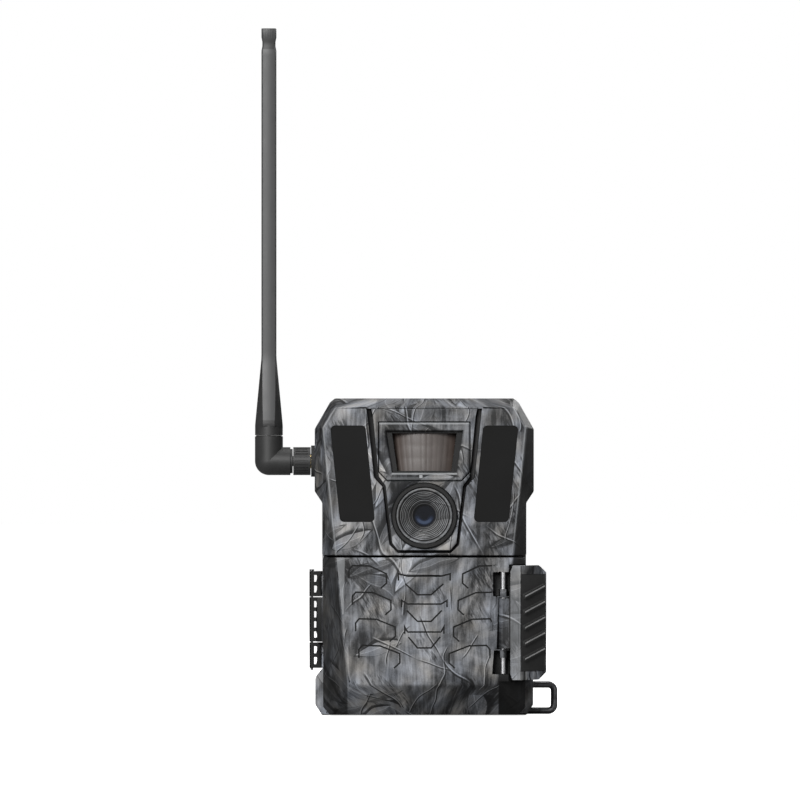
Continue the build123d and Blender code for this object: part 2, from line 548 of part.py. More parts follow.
def make_controls():
    domes = Part()
    for name, (x, z) in key_places().items():
        half = KEY_WIDE / 2
        cap = block((x - half, x + half), (PANEL_Y - 1.4, PANEL_BACK_Y + 0.5), (z - half, z + half))
        cap = chamfer(cap.faces().sort_by(Axis.Y)[0].edges(), 0.5)
        half = KEY_FLANGE / 2
        flange_y = (PANEL_BACK_Y + 0.4, PANEL_BACK_Y + 1.2)
        nodes[name] = cap + block((x - half, x + half), flange_y, (z - half, z + half))
        domes += rod("y", x, z, CONTROL_BOARD_Y - 0.9, CONTROL_BOARD_Y, 2.4)
    nodes["key_domes"] = domes
    board_y = (CONTROL_BOARD_Y, CONTROL_BOARD_Y + BOARD_THICK)
    nodes["control_board"] = block((-36.6, 36.6), board_y, (45.6, 65.9))
    nodes["lcd_window"] = block((-36, -3), (PANEL_Y + 0.2, PANEL_Y + 1.4), (46, 65.6))
    nodes["lcd_panel"] = block((-36.4, -1.8), (PANEL_BACK_Y + 0.1, CONTROL_BOARD_Y), (45.4, 66.1))
    knob = block((32.6, 35.4), (PANEL_Y - 1.8, PANEL_BACK_Y + 0.9), (50.4, 54.9))
    nodes["power_knob"] = chamfer(knob.faces().sort_by(Axis.Y)[0].edges(), 0.4)
    nodes["power_switch"] = block((31.0, 37.0), (PANEL_BACK_Y + 1.3, CONTROL_BOARD_Y), (48.5, 61.0))
    # the cards' sockets and the data port stand on a small board beside the tray
    nodes["service_board"] = block((32.4, 33.6), (PANEL_BACK_Y + 0.4, 6), (9.5, 40.5))
    back = CARD_FRONT_Y + CARD_LONG
    for card, socket, x, half, walls in (
        ("memory_card", "memory_card_socket", 30.3, 5.5, (28.8, 32.4)),
        ("sim_card", "sim_card_socket", 35.4, 6.0, (33.6, 37.2)),
    ):
        z = 32.0
        card_x = (x - CARD_THICK / 2, x + CARD_THICK / 2)
        nodes[card] = block(card_x, (CARD_FRONT_Y, back), (z - half, z + half))
        case = block(walls, (PANEL_BACK_Y + 0.2, back + 1), (z - half - 1.2, z + half + 1.2))
        room = CARD_THICK / 2 + FIT
        case -= block((x - room, x + room), (-20, back + 0.4), (z - half - FIT, z + half + FIT))
        nodes[socket] = case
    port = block((29.0, 32.2), (PANEL_Y + 0.1, -9.6), (11.0, 20.0))
    port = fillet(port.edges().filter_by(Axis.Y), 1.4)
    hollow = fillet(block((29.4, 31.8), (-20, -10.4), (11.4, 19.6)).edges().filter_by(Axis.Y), 1.0)
    nodes["usb_port"] = port - hollow + block((30.3, 30.9), (-16, -10.2), (12.4, 18.6))


def cell_places():
    x0 = (TRAY_X[0] + TRAY_X[1]) / 2 - 1.5 * CELL_PITCH
    z0 = (TRAY_Z[0] + TRAY_Z[1]) / 2 - 0.5 * CELL_PITCH
    places = []
    for i in range(4):
        for j in range(2):
            places.append((x0 + CELL_PITCH * i, z0 + CELL_PITCH * j, 1 if (i + j) % 2 else -1))
    return places


def make_battery():
    front, back = TRAY_Y
    tray = block(TRAY_X, TRAY_Y, TRAY_Z)
    inner_x = (TRAY_X[0] + 1.2, TRAY_X[1] - 1.2)
    inner_z = (TRAY_Z[0] + 1.1, TRAY_Z[1] - 1.1)
    tray -= block(inner_x, (front + 1.4, back - 1.4), inner_z)
    for x, _, _ in cell_places()[::2]:
        for y0, y1 in ((-26, -4), (0, 22)):
            tray -= block((x - 4.5, x + 4.5), (y0, y1), (0, 60))
    tray += block((-16, 4), (front - 2.4, front), (24, 28)) - block((-13, 1), (front - 1.6, front), (0, 60))
    nodes["battery_tray"] = tray
    cells = Part()
    contacts = Part()
    middle = (front + back) / 2
    for x, z, way in cell_places():
        end = middle - way * CELL_LONG / 2
        tip = middle + way * (CELL_LONG / 2 - 1.0)
        cells += rod("y", x, z, min(end, tip), max(end, tip), CELL_R)
        cells += rod("y", x, z, min(tip, tip + way), max(tip, tip + way), 2.7)
        for turn, r in enumerate((2.2, 3.2)):
            y = end - way * (0.35 + 0.5 * turn)
            contacts += Pos(x, y, z) * Rot(90, 0, 0) * Torus(r, 0.35)
    nodes["battery_cells"] = cells
    for y in (front + 1.4, back - 1.4 - 0.3):
        for pair in (0, 2):
            x = cell_places()[2 * pair][0]
            z = (TRAY_Z[0] + TRAY_Z[1]) / 2
            contacts += block((x - 5, x + CELL_PITCH + 5), (y, y + 0.3), (z - 12, z + 12))
    nodes["battery_contacts"] = contacts


def make_boards():
    top = MAIN_BOARD_Y + BOARD_THICK
    board = block((-33, 33), (MAIN_BOARD_Y, top), (75, 133))
    for x, z in BOARD_POSTS:
        board -= rod("y", x, z, MAIN_BOARD_Y - 1, top + 1, SCREW_R + GRIP)
    nodes["main_board"] = board
    nodes["modem_can"] = block((-29, 1), (top, top + 2.8), (88, 118))
    ribbon = block((-6, 6), (CONTROL_BOARD_Y + BOARD_THICK, MAIN_BOARD_Y - 0.4), (62.0, 62.3))
    ribbon += block((-6, 6), (MAIN_BOARD_Y - 0.7, MAIN_BOARD_Y - 0.4), (62.0, 80.0))
    nodes["ribbon_cable"] = ribbon
    inner_screws = [screw(x, z, PANEL_Y, 15, -1) for x, z in CHASSIS_SCREWS]
    inner_screws += [screw(x, z, MAIN_BOARD_Y, 7.0, -1) for x, z in BOARD_POSTS]
    nodes["inner_screws"] = Part() + inner_screws
    nodes["housing_seal"] = ring(both(UPPER), RIM_Y - GRIP, RIM_Y + 1.1, 0.8, 1.8)
    nodes["door_gasket"] = ring(both(DOOR), RIM_Y - 0.3, RIM_Y + 1.1, 0.7, 1.7)
    nodes["housing_screws"] = Part() + [screw(x, z, RIM_Y + 6, 14, 1) for x, z in HOUSING_SCREWS]


def mast_length(low, high):
    """A length of the mast between two sections, each its height, half width and half widths of two flats."""
    rims = []
    for z, wide, front, side in (low, high):
        half = [(front, -wide), (wide, -side), (wide, side), (front, wide)]
        points = half + [(-x, y) for x, y in reversed(half)]
        rims.append(Wire.make_polygon([(AERIAL_X + x, AERIAL_Y + y, z) for x, y in points], close=True))
    return Solid.make_loft(rims, ruled=True)


def make_antenna():
    y, z = AERIAL_Y, AERIAL_Z
    nodes["antenna_boss"] = rod("x", y, z, -50.1, -WIDE_X, 6.95) - rod("x", y, z, -51, -48, JACK_R)
    jack = rod("x", y, z, -55, -41.4, JACK_R) + rod("x", y, z, -WIDE_X + WALL, -43.2, 4.8)
    nodes["antenna_jack"] = jack - rod("x", y, z, -55.5, -44, 1.9)
    collar = rod("x", y, z, -58.0, -50.35, BARREL_R)
    for i in range(24):
        collar -= Pos(-54.2, y, z) * Rot(i * 15, 0, 0) * Pos(0, BARREL_R, 0) * Box(5.6, 0.7, 0.7)
    collar -= rod("x", y, z, -57.0, -50, JACK_R + RUN)
    nodes["antenna_collar"] = collar - rod("x", y, z, -60, -50, SPIGOT_R + RUN)
    elbow = rod("x", y, z, AERIAL_X, -59.3, BARREL_R) + Pos(AERIAL_X, y, z) * Sphere(BARREL_R)
    elbow += rod("z", AERIAL_X, y, z, MAST_FOOT_Z - 0.4, BARREL_R)
    elbow += rod("x", y, z, -59.4, -58.3, 5.4)
    elbow += rod("x", y, z, -59, -55.6, SPIGOT_R) + rod("x", y, z, -56.7, -55.6, 2.85)
    elbow += rod("z", AERIAL_X, y, MAST_FOOT_Z - 0.5, MAST_FOOT_Z, BARREL_R - 0.5)
    nodes["antenna_elbow"] = elbow
    low, high = MAST_TAPER_Z
    band_low, band_high = MAST_BAND_Z
    foot = chamfer(rod("z", AERIAL_X, y, MAST_FOOT_Z, low, BARREL_R - 0.05).edges().sort_by(Axis.Z)[0], 0.3)
    mast = foot + mast_length((low, 6.15, 2.55, 2.55), (high, 3.35, 2.9, 1.0))
    mast += mast_length((high, 3.35, 2.9, 1.0), (band_low, 3.3, 2.9, 1.0))
    mast += mast_length((band_low, 2.9, 2.5, 0.9), (band_high, 2.9, 2.5, 0.9))
    bore = rod("z", AERIAL_X, y, MAST_FOOT_Z, 292, 0.85)
    nodes["antenna_element"] = bore
    tip = Part() + mast_length((band_high, 3.3, 2.9, 1.0), (MAST_TOP_Z, 3.2, 2.8, 1.0))
    nodes["antenna_mast"] = mast + chamfer(tip.faces().sort_by(Axis.Z)[-1].edges(), 0.8) - bore
    start = (-41.4, y, z)
    points = [start, (-33.5, y, z), (-28.5, 2.2, 104.0), (-23.8, 2.2, 100.0)]
    lead = FilletPolyline(*points, radius=3.5)
    wire = sweep(Plane(start, x_dir=(0, 1, 0), z_dir=(1, 0, 0)) * Circle(0.7), lead)
    nodes["antenna_lead"] = wire + rod("y", -23.0, 100, MAIN_BOARD_Y + BOARD_THICK + 2.8, 3.0, 1.5)


def main():
    nodes["rear_shell"] = make_rear_shell()
    nodes["lock_loop"] = make_loop()
    bore = rod("z", 0, 0, -1, INSERT_DEEP + 1, TRIPOD_R)
    nodes["tripod_insert"] = rod("z", 0, 0, 0, INSERT_DEEP, INSERT_R) - bore
    pin = rod("z", HINGE_X, HINGE_Y, 19.9, 63.7, HINGE_PIN_R) + rod("z", HINGE_X, HINGE_Y, 63.7, 64.4, 1.0)
    nodes["hinge_pin"] = pin
    make_upper_front()
    make_lens()
    make_door()
    make_latch()
    make_chassis()
    make_controls()
    make_battery()
    make_boards()
    make_antenna()
    os.makedirs("parts", exist_ok=True)
    for name, shape in nodes.items():
        export_step(shape, f"parts/{name}.step")


main()
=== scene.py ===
"""The looks of a cellular trail camera, laid out as an add-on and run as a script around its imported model."""
import json
from math import cos, hypot, pi, radians, sin

import bmesh
import bpy
from mathutils import Matrix, Vector


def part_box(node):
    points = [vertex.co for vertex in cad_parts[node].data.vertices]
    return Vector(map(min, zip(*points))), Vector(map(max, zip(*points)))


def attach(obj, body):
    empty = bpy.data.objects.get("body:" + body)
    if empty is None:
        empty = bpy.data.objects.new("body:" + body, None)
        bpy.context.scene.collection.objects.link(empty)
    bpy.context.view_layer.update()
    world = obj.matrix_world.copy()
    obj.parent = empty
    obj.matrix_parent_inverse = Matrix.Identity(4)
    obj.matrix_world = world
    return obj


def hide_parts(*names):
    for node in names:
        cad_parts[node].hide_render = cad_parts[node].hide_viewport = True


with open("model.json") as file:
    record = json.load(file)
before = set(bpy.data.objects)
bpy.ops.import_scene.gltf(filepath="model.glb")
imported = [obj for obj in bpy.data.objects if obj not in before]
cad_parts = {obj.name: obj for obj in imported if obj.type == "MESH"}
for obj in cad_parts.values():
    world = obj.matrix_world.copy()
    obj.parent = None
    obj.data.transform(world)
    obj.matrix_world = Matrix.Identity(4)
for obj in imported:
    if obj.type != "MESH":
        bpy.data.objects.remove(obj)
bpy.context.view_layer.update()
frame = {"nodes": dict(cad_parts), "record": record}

bl_info = {
    "name": "Trail camera",
    "version": (1, 0, 0),
    "blender": (4, 5, 0),
    "location": "3D View > Sidebar > Trail camera",
    "description": "Builds the pieces and finishes of a trail camera around its packed model",
    "category": "Object",
}

MM = 0.001
NODES = frame["nodes"]
SLOTS = {row["node"]: row["material_slot"] for row in frame["record"]["subparts"]}

# Places on the object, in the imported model's frame: in millimetres where a finish reads them, else in metres.
LENS_UP = 88.4  # height of the lens's axis
LENS_Z = LENS_UP * MM
MAST_OUT = 68.8  # from the middle of the case to the mast's axis
AERIAL_X, AERIAL_Y = -MAST_OUT * MM, 6.0 * MM
MAST_SIDES = 8
MAST_HALF = 6.15 * MM  # half the mast's width at its foot
MAST_FOOT_Z, MAST_FOOT_TALL = 125.85 * MM, 4.4 * MM  # the round foot's middle and height
GRIP_LINE = ((42.3 * MM, -38.4 * MM), (53.8 * MM, -24.5 * MM))  # the latch's slope, in (x, y)
GRIP_Z = 41.25 * MM
GRIP_SLANT = radians(18)  # of the grip's crests
CREST_LIFT = 0.95 * MM  # from the latch's slope to the crests' centres
FACET_CROWN, ROW_CROWN = 0.35 * MM, 0.25 * MM  # of the motion lens's cells, across and up
HOOD_EDGE = 0.12 * MM
HOOD_RING = 0.72  # between the fine rings on the hood


# ---------------------------------------------------------------- node trees


class Sock:
    """A node's output that adds Math nodes when it stands in an expression."""

    def __init__(self, net, socket):
        self.net = net
        self.socket = socket

    def __add__(self, other):
        return self.net.math("ADD", self, other)

    __radd__ = __add__

    def __sub__(self, other):
        return self.net.math("SUBTRACT", self, other)

    def __rsub__(self, other):
        return self.net.math("SUBTRACT", other, self)

    def __mul__(self, other):
        return self.net.math("MULTIPLY", self, other)

    __rmul__ = __mul__

    def __truediv__(self, other):
        return self.net.math("DIVIDE", self, other)

    def __rtruediv__(self, other):
        return self.net.math("DIVIDE", other, self)

    def __neg__(self):
        return self * -1.0

    def __abs__(self):
        return self.net.math("ABSOLUTE", self)

    def __gt__(self, other):
        return self.net.math("GREATER_THAN", self, other)

    def __lt__(self, other):
        return self.net.math("LESS_THAN", self, other)

    def sine(self):
        return self.net.math("SINE", self)

    def part(self):
        """What is left over the whole number below."""
        return self.net.math("FRACT", self)

    def floor(self):
        return self.net.math("FLOOR", self)

    def most(self, other):
        return self.net.math("MAXIMUM", self, other)

    def rise(self, low, high):
        """0 below low and 1 above high, with a smooth step between them."""
        return self.net.span(self, low, high, 0.0, 1.0, "SMOOTHSTEP")

    def near(self, place, full, none):
        """1 within full of a place and 0 beyond none of it, with a smooth step between them."""
        return 1.0 - abs(self - place).rise(full, none)


class Net:
    """A node tree under construction."""

    def __init__(self, tree):
        self.tree = tree
        tree.nodes.clear()

    def add(self, kind, settings=None, values=None, out=0):
        """Any node: its settings first, then the values or links of its sockets. Gives one of its outputs."""
        node = self.tree.nodes.new(kind)
        for key, value in (settings or {}).items():
            if key == "stops":
                set_stops(node.color_ramp, value)
            else:
                setattr(node, key, value)
        for key, value in (values or {}).items():
            if isinstance(value, Sock):
                self.tree.links.new(value.socket, node.inputs[key])
            else:
                node.inputs[key].default_value = value
        return Sock(self, node.outputs[out]) if len(node.outputs) else node

    def more(self, sock, key):
        """Another output of the node that a socket belongs to."""
        return Sock(self, sock.socket.node.outputs[key])

    def math(self, operation, *values):
        return self.add("ShaderNodeMath", {"operation": operation}, dict(enumerate(values)))

    def span(self, value, low, high, to_low, to_high, how="LINEAR"):
        values = {"Value": value, "From Min": low, "From Max": high, "To Min": to_low, "To Max": to_high}
        return self.add("ShaderNodeMapRange", {"interpolation_type": how}, values)

    def vector(self, x, y, z):
        return self.add("ShaderNodeCombineXYZ", None, {0: x, 1: y, 2: z})

    def split(self, vector):
        first = self.add("ShaderNodeSeparateXYZ", None, {0: vector})
        return first, self.more(first, 1), self.more(first, 2)

    def stretched(self, vector, scale):
        """The place scaled along each axis."""
        return self.add("ShaderNodeMapping", None, {"Vector": vector, "Scale": scale})

    def noise(self, vector, size, detail=2.0, rough=0.5, distort=0.0):
        """Noise between 0 and 1 whose lumps are about as large as size."""
        values = {"Vector": vector, "Scale": 1.0 / size, "Detail": detail, "Roughness": rough}
        values["Distortion"] = distort
        return self.add("ShaderNodeTexNoise", None, values)

    def cells(self, vector, scale, feature="F1"):
        """The distance to the nearest of scattered points in a plane, or to the edge between two of them."""
        settings = {"voronoi_dimensions": "2D", "feature": feature}
        return self.add("ShaderNodeTexVoronoi", settings, {"Vector": vector, "Scale": scale})

    def blend(self, factor, first, second, how="MIX"):
        """Two colours mixed."""
        settings = {"data_type": "RGBA", "blend_type": how, "clamp_factor": True}
        return self.add("ShaderNodeMix", settings, {0: factor, 6: first, 7: second}, 2)

    def between(self, factor, first, second):
        """Two numbers mixed."""
        return first + (second - first) * factor

    def ramp(self, factor, stops):
        return self.add("ShaderNodeValToRGB", {"stops": stops}, {0: factor})

    def bump(self, height, distance, strength=1.0):
        values = {"Height": height, "Distance": distance, "Strength": strength}
        return self.add("ShaderNodeBump", None, values)


def set_stops(ramp, stops):
    while len(ramp.elements) < len(stops):
        ramp.elements.new(0.5)
    for element, (place, colour) in zip(ramp.elements, stops):
        element.position = place
        element.color = (*colour, 1.0)


def grey(value, warm=0.0):
    """A grey of that strength, warmer above 0 and cooler below."""
    return (value * (1 + warm), value, value * (1 - warm))


def start_finish(name):
    """A new material: its net and the object's coordinates in millimetres, as three sockets."""
    material = bpy.data.materials.new(name)
    material.use_nodes = True
    net = Net(material.node_tree)
    place = net.add("ShaderNodeTexCoord", None, None, "Object")
    scaled = net.add("ShaderNodeMapping", {"vector_type": "POINT"}, {"Vector": place, "Scale": (1000.0,) * 3})
    return material, net, scaled


def end_finish(material, net, colour, roughness, normal=None, alpha=None, metal=0.0, **constants):
    """Closes a material with its shader. Constants name the shader's own sockets."""
    values = {"Base Color": colour, "Roughness": roughness, "Metallic": metal}
    if not isinstance(colour, Sock):
        values["Base Color"] = (*colour, 1.0)
    if normal is not None:
        values["Normal"] = normal
    if alpha is not None:
        values["Alpha"] = alpha
    for key, value in constants.items():
        values[key.replace("_", " ")] = value
    shader = net.add("ShaderNodeBsdfPrincipled", None, values)
    net.add("ShaderNodeOutputMaterial", None, {"Surface": shader})
    return material


# ---------------------------------------------------------------- finishes


def leaf_layer(net, u, w, tone, angle, length, width, seed, share):
    """Lays scattered leaves over a tone: pointed shapes with a midrib, side veins, a rim and a shadow."""
    c, s = cos(radians(angle)), sin(radians(angle))
    along = (u * c + w * s) / length + seed
    bend = net.noise(net.vector(u, w, seed), length * 0.9, 1.0) - 0.5
    across = (w * c - u * s) / width + seed * 1.7 + bend * 1.1
    cell = net.cells(net.vector(along, across, 0.0), 1.0)
    shade, pick, _ = net.split(net.more(cell, "Color"))
    cx, cy, _ = net.split(net.more(cell, "Position"))
    a, b = along - cx, across - cy
    side = abs(b)
    shape = 0.37 - a * a * 1.45 - side
    chosen = pick > (1.0 - share)
    inside = shape.rise(0.0, 0.05) * chosen
    shadow = (shape + b * 0.25).rise(-0.16, 0.02) * chosen * (1.0 - inside)
    rim = shape.near(0.035, 0.0, 0.035) * chosen
    rib = 1.0 - side.rise(0.006, 0.03)
    veins = ((a * 1.3 - side) * 62.0).sine().rise(0.35, 1.0)
    leaf = shade * 0.5 + 0.2 + (b > 0.0) * 0.08 + rib * 0.16 + veins * 0.05 - side * 0.25
    under = tone * (1.0 - shadow * 0.62)
    return net.between(inside, under, leaf + (tone - 0.4) * 0.4) + rim * 0.08


def twig_layer(net, u, w, tone, angle, pitch, thick, seed):
    """Lays thin crooked twigs over a tone, each with a dark underside."""
    c, s = cos(radians(angle)), sin(radians(angle))
    along = u * c + w * s
    wave = net.noise(net.vector(u, w, seed * 3.1), pitch * 1.4, 2.0) - 0.5
    off = (w * c - u * s) / pitch + wave * 0.85 + seed
    apart = (off.part() - 0.5) * pitch
    gate = net.noise(net.vector(along * 0.35, off.floor() * 7.3, seed), 6.0, 0.0).rise(0.47, 0.56)
    line = apart.near(0.0, thick * 0.35, thick) * gate
    under = apart.near(-thick * 1.6, thick * 0.5, thick * 1.6) * gate
    return net.between(line, tone * (1.0 - under * 0.6), tone * 0.35 + 0.62)


# the print's leaves: angle in degrees, length and width in millimetres, seed, share of cells that hold one
LEAVES = ((64, 38.0, 12.0, 2.3, 0.26), (-38, 31.0, 11.0, 5.9, 0.22), (18, 22.0, 7.0, 8.2, 0.2))
# its twigs: angle in degrees, pitch and thickness in millimetres, seed
TWIGS = ((52, 24.0, 0.3, 1.3), (-22, 31.0, 0.36, 4.7), (84, 22.0, 0.26, 7.7), (-61, 36.0, 0.42, 2.9))
# its greys, from the darkest tone to the lightest
PRINT_TONES = ((0.0, 0.006), (0.22, 0.018), (0.46, 0.08), (0.7, 0.176), (0.92, 0.29), (1.0, 0.4))


def make_camo(name, look, region=None):
    """Woodland print in greys: bark, leaves and twigs under a satin lacquer. region paints shade (near black)
    and highlights (pale grey) on it.
    """
    material, net, place = start_finish(name)
    x, y, z = net.split(place)
    # the print runs on round the corners: depth is folded into both its directions, outwards from the middle
    deep = y + 38.0
    turn = net.span(x, -24.0, 24.0, -1.0, 1.0)
    u = x + turn * deep * 0.95
    w = z + net.span(z, 60.0, 120.0, -0.3, 0.45) * deep
    flat = net.vector(u, w, 0.0)
    lumps = net.noise(flat, 34.0, 4.0, 0.55, 1.1)
    bands = net.noise(net.vector(u * 0.8 - w * 0.5, (w + u * 0.6) * 0.2, 2.0), 11.0, 3.0, 0.55, 0.8)
    bark = net.noise(net.vector(u, w * 0.11, 4.0), 2.2, 5.0, 0.66, 0.5)
    hatch = net.noise(net.vector(u * 1.0 + w * 0.55, (w - u * 0.55) * 0.16, 7.0), 1.3, 3.0, 0.6, 0.6)
    fine = net.noise(flat, 0.7, 3.0, 0.6)
    hatched = net.noise(flat, 19.0, 2.0).rise(0.52, 0.6)
    tone = lumps.rise(0.34, 0.62) * 0.36 + bands.rise(0.38, 0.6) * 0.26 + bark.rise(0.3, 0.7) * 0.3 + 0.04
    tone = tone - (hatch.rise(0.42, 0.62) - 0.2) * hatched * 0.3
    for leaves in LEAVES:
        tone = leaf_layer(net, u, w, tone, *leaves)
    for twigs in TWIGS:
        tone = twig_layer(net, u, w, tone, *twigs)
    tone = (tone + (fine - 0.5) * 0.24) * look.contrast + look.lift
    colour = net.ramp(tone, [(stop, grey(value)) for stop, value in PRINT_TONES])
    warmth = net.noise(flat, 13.0, 2.0)
    tint = net.ramp(warmth, [(0.35, (0.92, 0.98, 1.1)), (0.5, (0.97, 0.99, 1.04)), (0.68, (1.04, 1.0, 0.95))])
    colour = net.blend(1.0, colour, tint, "MULTIPLY")
    if region:
        # the region's dark marks go near black and its light marks pale grey: most of them are painted shade
        # and painted highlights
        dark, light = region(net, x, y, z)
        colour = net.blend(light, colour, (*grey(0.34, -0.03), 1.0))
        colour = net.blend(dark, colour, (*grey(0.0035), 1.0))
    grain = net.noise(place, 0.28, 2.0)
    rough = 0.5 + fine * 0.1 - tone * 0.05
    normal = net.bump(grain * 0.35 + tone * 0.2, 0.00006, 0.7)
    return end_finish(material, net, colour, rough, normal, Specular_IOR_Level=0.2)


def upper_region(net, x, y, z):
    """The upper front: painted shade, black in the sunken line round the pod and dark on the bevels, darkest on
    the right; a painted highlight along the border of the front face.
    """
    out = abs(x)
    shoulder = 127.0
    # painted shade: the sunken line round the pod is painted black
    groove = (y > -37.7) * (z > 71.6) * (z < 136.2) * (out < 26.8)
    edge = net.span(z, 70.0, shoulder, 38.9, 44.8) - (z - shoulder).most(0.0) * 0.62
    past = out - edge
    # painted shade on the bevels, stronger towards the right
    bevel = past.rise(0.1, 0.9) * (y < -9.0)
    # painted highlight along the border of the front face
    edge_highlight = past.near(-0.2, 0.15, 0.55) * (y < -36.8)
    return groove.most(bevel * net.span(x, -45.0, 45.0, 0.36, 0.95)), edge_highlight * 0.35


def door_region(net, x, y, z):
    """The door: painted shade, black in its sunken lines and pockets and dark on its flanks; black at its
    hinge; darker at its foot and near black at its lower right corner; a painted highlight on a strip by the
    left edge of its face.
    """
    out = abs(x)
    latch_middle = 41.2
    edge = net.span(z, 13.6, 70.0, 33.0, 38.6)
    # painted shade: the sunken lines are painted black
    lines = (y > -37.8) * (out < edge) * (z > 15.0) * (z < 69.0) * (x < 29.8)
    apart = abs(z - latch_middle)
    # painted shade: the latch's pin pockets are painted black
    pocket = (x > 30.0) * (x < 38.4) * (y > -37.9) * (apart > 11.2) * (apart < 22.6)
    foot = (14.2 - z).rise(-0.4, 0.4) * 0.26
    corner = (x - 32.6).rise(-0.4, 0.4) * (z < 19.0) * 0.98
    # painted shade on the flanks
    flank = (out - edge).rise(0.2, 1.2) * 0.82
    dark = lines.most(pocket).most(foot).most(corner).most(flank).most(x < -45.3)
    # painted highlight on a strip by the left edge of the face
    highlight_strip = (x > -edge) * (x < net.span(z, 45.0, 70.0, -35.4, -35.0)) * (z > 45.0)
    return dark, highlight_strip * 0.3


def pod_region(net, x, y, z):
    """The pod: painted shade, black on its side walls; a painted highlight along its front edge."""
    return y > -38.4, (y > -38.72) * 0.25


def frame_region(net, x, y, z):
    """The sensor's frame: painted highlights on its upper and lower edges, its sill and a nub; painted shade,
    black on its walls and in a line at the ledge.
    """
    # painted highlights along the edges
    top = z.near(129.0, 0.2, 0.6) * 0.45
    foot = z.near(104.6, 0.3, 0.9) * 0.25
    nub = x.near(-1.5, 0.6, 0.8) * z.near(105.6, 0.6, 0.8) * 0.8
    sill = z.near(106.9, 0.2, 0.6) * (abs(x) < 14.4) * 0.55
    # painted shade in a line at the ledge
    ledge = z.near(125.8, 0.2, 0.5) * (abs(x) < 17.2) * 0.7
    return (y > -38.9).most(ledge), top.most(foot).most(nub).most(sill)


def lever_region(net, x, y, z):
    """The latch lever: paler on its front panel; painted shade, dark on the slope round the grip and black in
    the slit; a painted highlight along the edge between the panel and the slope.
    """
    slit = 37.6
    # painted shade on the slope round the grip
    slope = (x - 42.1).rise(0.0, 0.5) * (z < 62.6) * (z > 19.6) * 0.6
    # painted highlight along the edge; further down, painted shade in the slit
    edge = x.near(42.0, 0.15, 0.5) * 0.35
    panel = (x > slit) * (x < 42.3) * (y < -38.2) * 0.2
    return slope.most((abs(x - slit) < 0.3) * 0.9), edge.most(panel)


def shell_region(net, x, y, z):
    """The rear shell: its hinge knuckles are black."""
    return (x < -45.5) * (z > 19.0) * (z < 66.0), x * 0.0


def from_lens(net, x, z):
    """The distance from the lens's axis, in millimetres."""
    up = z - LENS_UP
    return net.math("SQRT", x * x + up * up)


def hood_region(net, x, y, z):
    """The lens hood: painted shade, dark in the grooves between its fine rings, in a line round its rim and all
    over, darkest towards the glass; painted highlights on the ring crests and the outer rim.
    """
    apart = from_lens(net, x, z)
    ring = (apart / HOOD_RING).part()
    # painted shade in the grooves between the rings, in the line round the rim and deepening towards the glass
    rings = abs(ring - 0.5).rise(0.2, 0.34) * (apart < 10.9)
    line = apart.near(11.1, 0.1, 0.35)
    inner = (8.2 - apart).rise(0.0, 3.4) * 0.85
    # painted highlights on the ring crests and the outer rim
    crest = ring.near(0.5, 0.02, 0.2) * (apart > 4.5) * 0.6
    return rings.most(line).most(inner).most(0.36), crest.most((apart > 11.3) * 0.25)


def make_plastic(name, tone, rough, warm=0.0, grain=0.5, depth=0.00005, wear=0.35):
    """Moulded plastic with a fine spark-eroded grain and slightly polished high spots."""
    material, net, place = start_finish(name)
    cells = net.noise(place, grain, 3.0, 0.65)
    cloud = net.noise(place, 9.0, 3.0, 0.55)
    streak = net.noise(net.stretched(place, (1.0, 1.0, 0.12)), 1.6, 3.0)
    mix = cloud * 0.6 + streak * 0.4
    colour = net.ramp(mix, [(0.3, grey(tone * (1 - wear), warm)), (0.7, grey(tone * (1 + wear), warm))])
    shine = rough + (cloud - 0.5) * 0.16 + (cells - 0.5) * 0.1
    return end_finish(material, net, colour, shine, net.bump(cells, depth, 0.8), Specular_IOR_Level=0.22)


def make_aerial(name, tone):
    """The aerial's plastic: charcoal, paler on the mast's front flat as a painted highlight where that flat is
    also a little smoother, with fine ribs at its top whose grooves carry painted shade.
    """
    material, net, place = start_finish(name)
    x, y, z = net.split(place)
    cloud = net.noise(place, 7.0, 3.0, 0.55)
    cells = net.noise(place, 0.35, 3.0, 0.6)
    aside = x + MAST_OUT
    half = net.span(z, 128.0, 158.0, 2.6, 2.95)
    flat = (1.0 - (abs(aside) - half).rise(-0.1, 0.15)) * (z - 130.0).rise(0.0, 0.6) * (y < 3.4)
    flat = flat * (1.0 - (z > 294.8) * (z < 299.6))
    ribs = abs((aside * 1.3).part() - 0.5).rise(0.2, 0.3) * (z > 299.7)
    colour = net.ramp(cloud, [(0.3, grey(tone * 0.85)), (0.7, grey(tone * 1.15))])
    # painted highlight on the mast's front flat
    colour = net.blend(flat * 0.6, colour, (*grey(tone * 2.6, -0.02), 1.0))
    # painted shade in the grooves between the ribs
    colour = net.blend(ribs * 0.6, colour, (*grey(tone * 0.2), 1.0))
    shine = 0.5 + (cloud - 0.5) * 0.16 - flat * 0.06
    normal = net.bump(cells * 0.4 - ribs, 0.00006, 0.6)
    return end_finish(material, net, colour, shine, normal, Specular_IOR_Level=0.35)


def make_rubber(name, tone):
    """Soft rubber: dull, dusty, with tiny pits."""
    material, net, place = start_finish(name)
    dust = net.noise(place, 5.0, 5.0, 0.7)
    pits = net.noise(place, 0.3, 2.0)
    colour = net.ramp(dust, [(0.32, grey(tone * 0.75)), (0.6, grey(tone)), (0.78, grey(tone * 1.7, 0.03))])
    return end_finish(material, net, colour, 0.7 + pits * 0.2, net.bump(pits, 0.00006, 0.6))


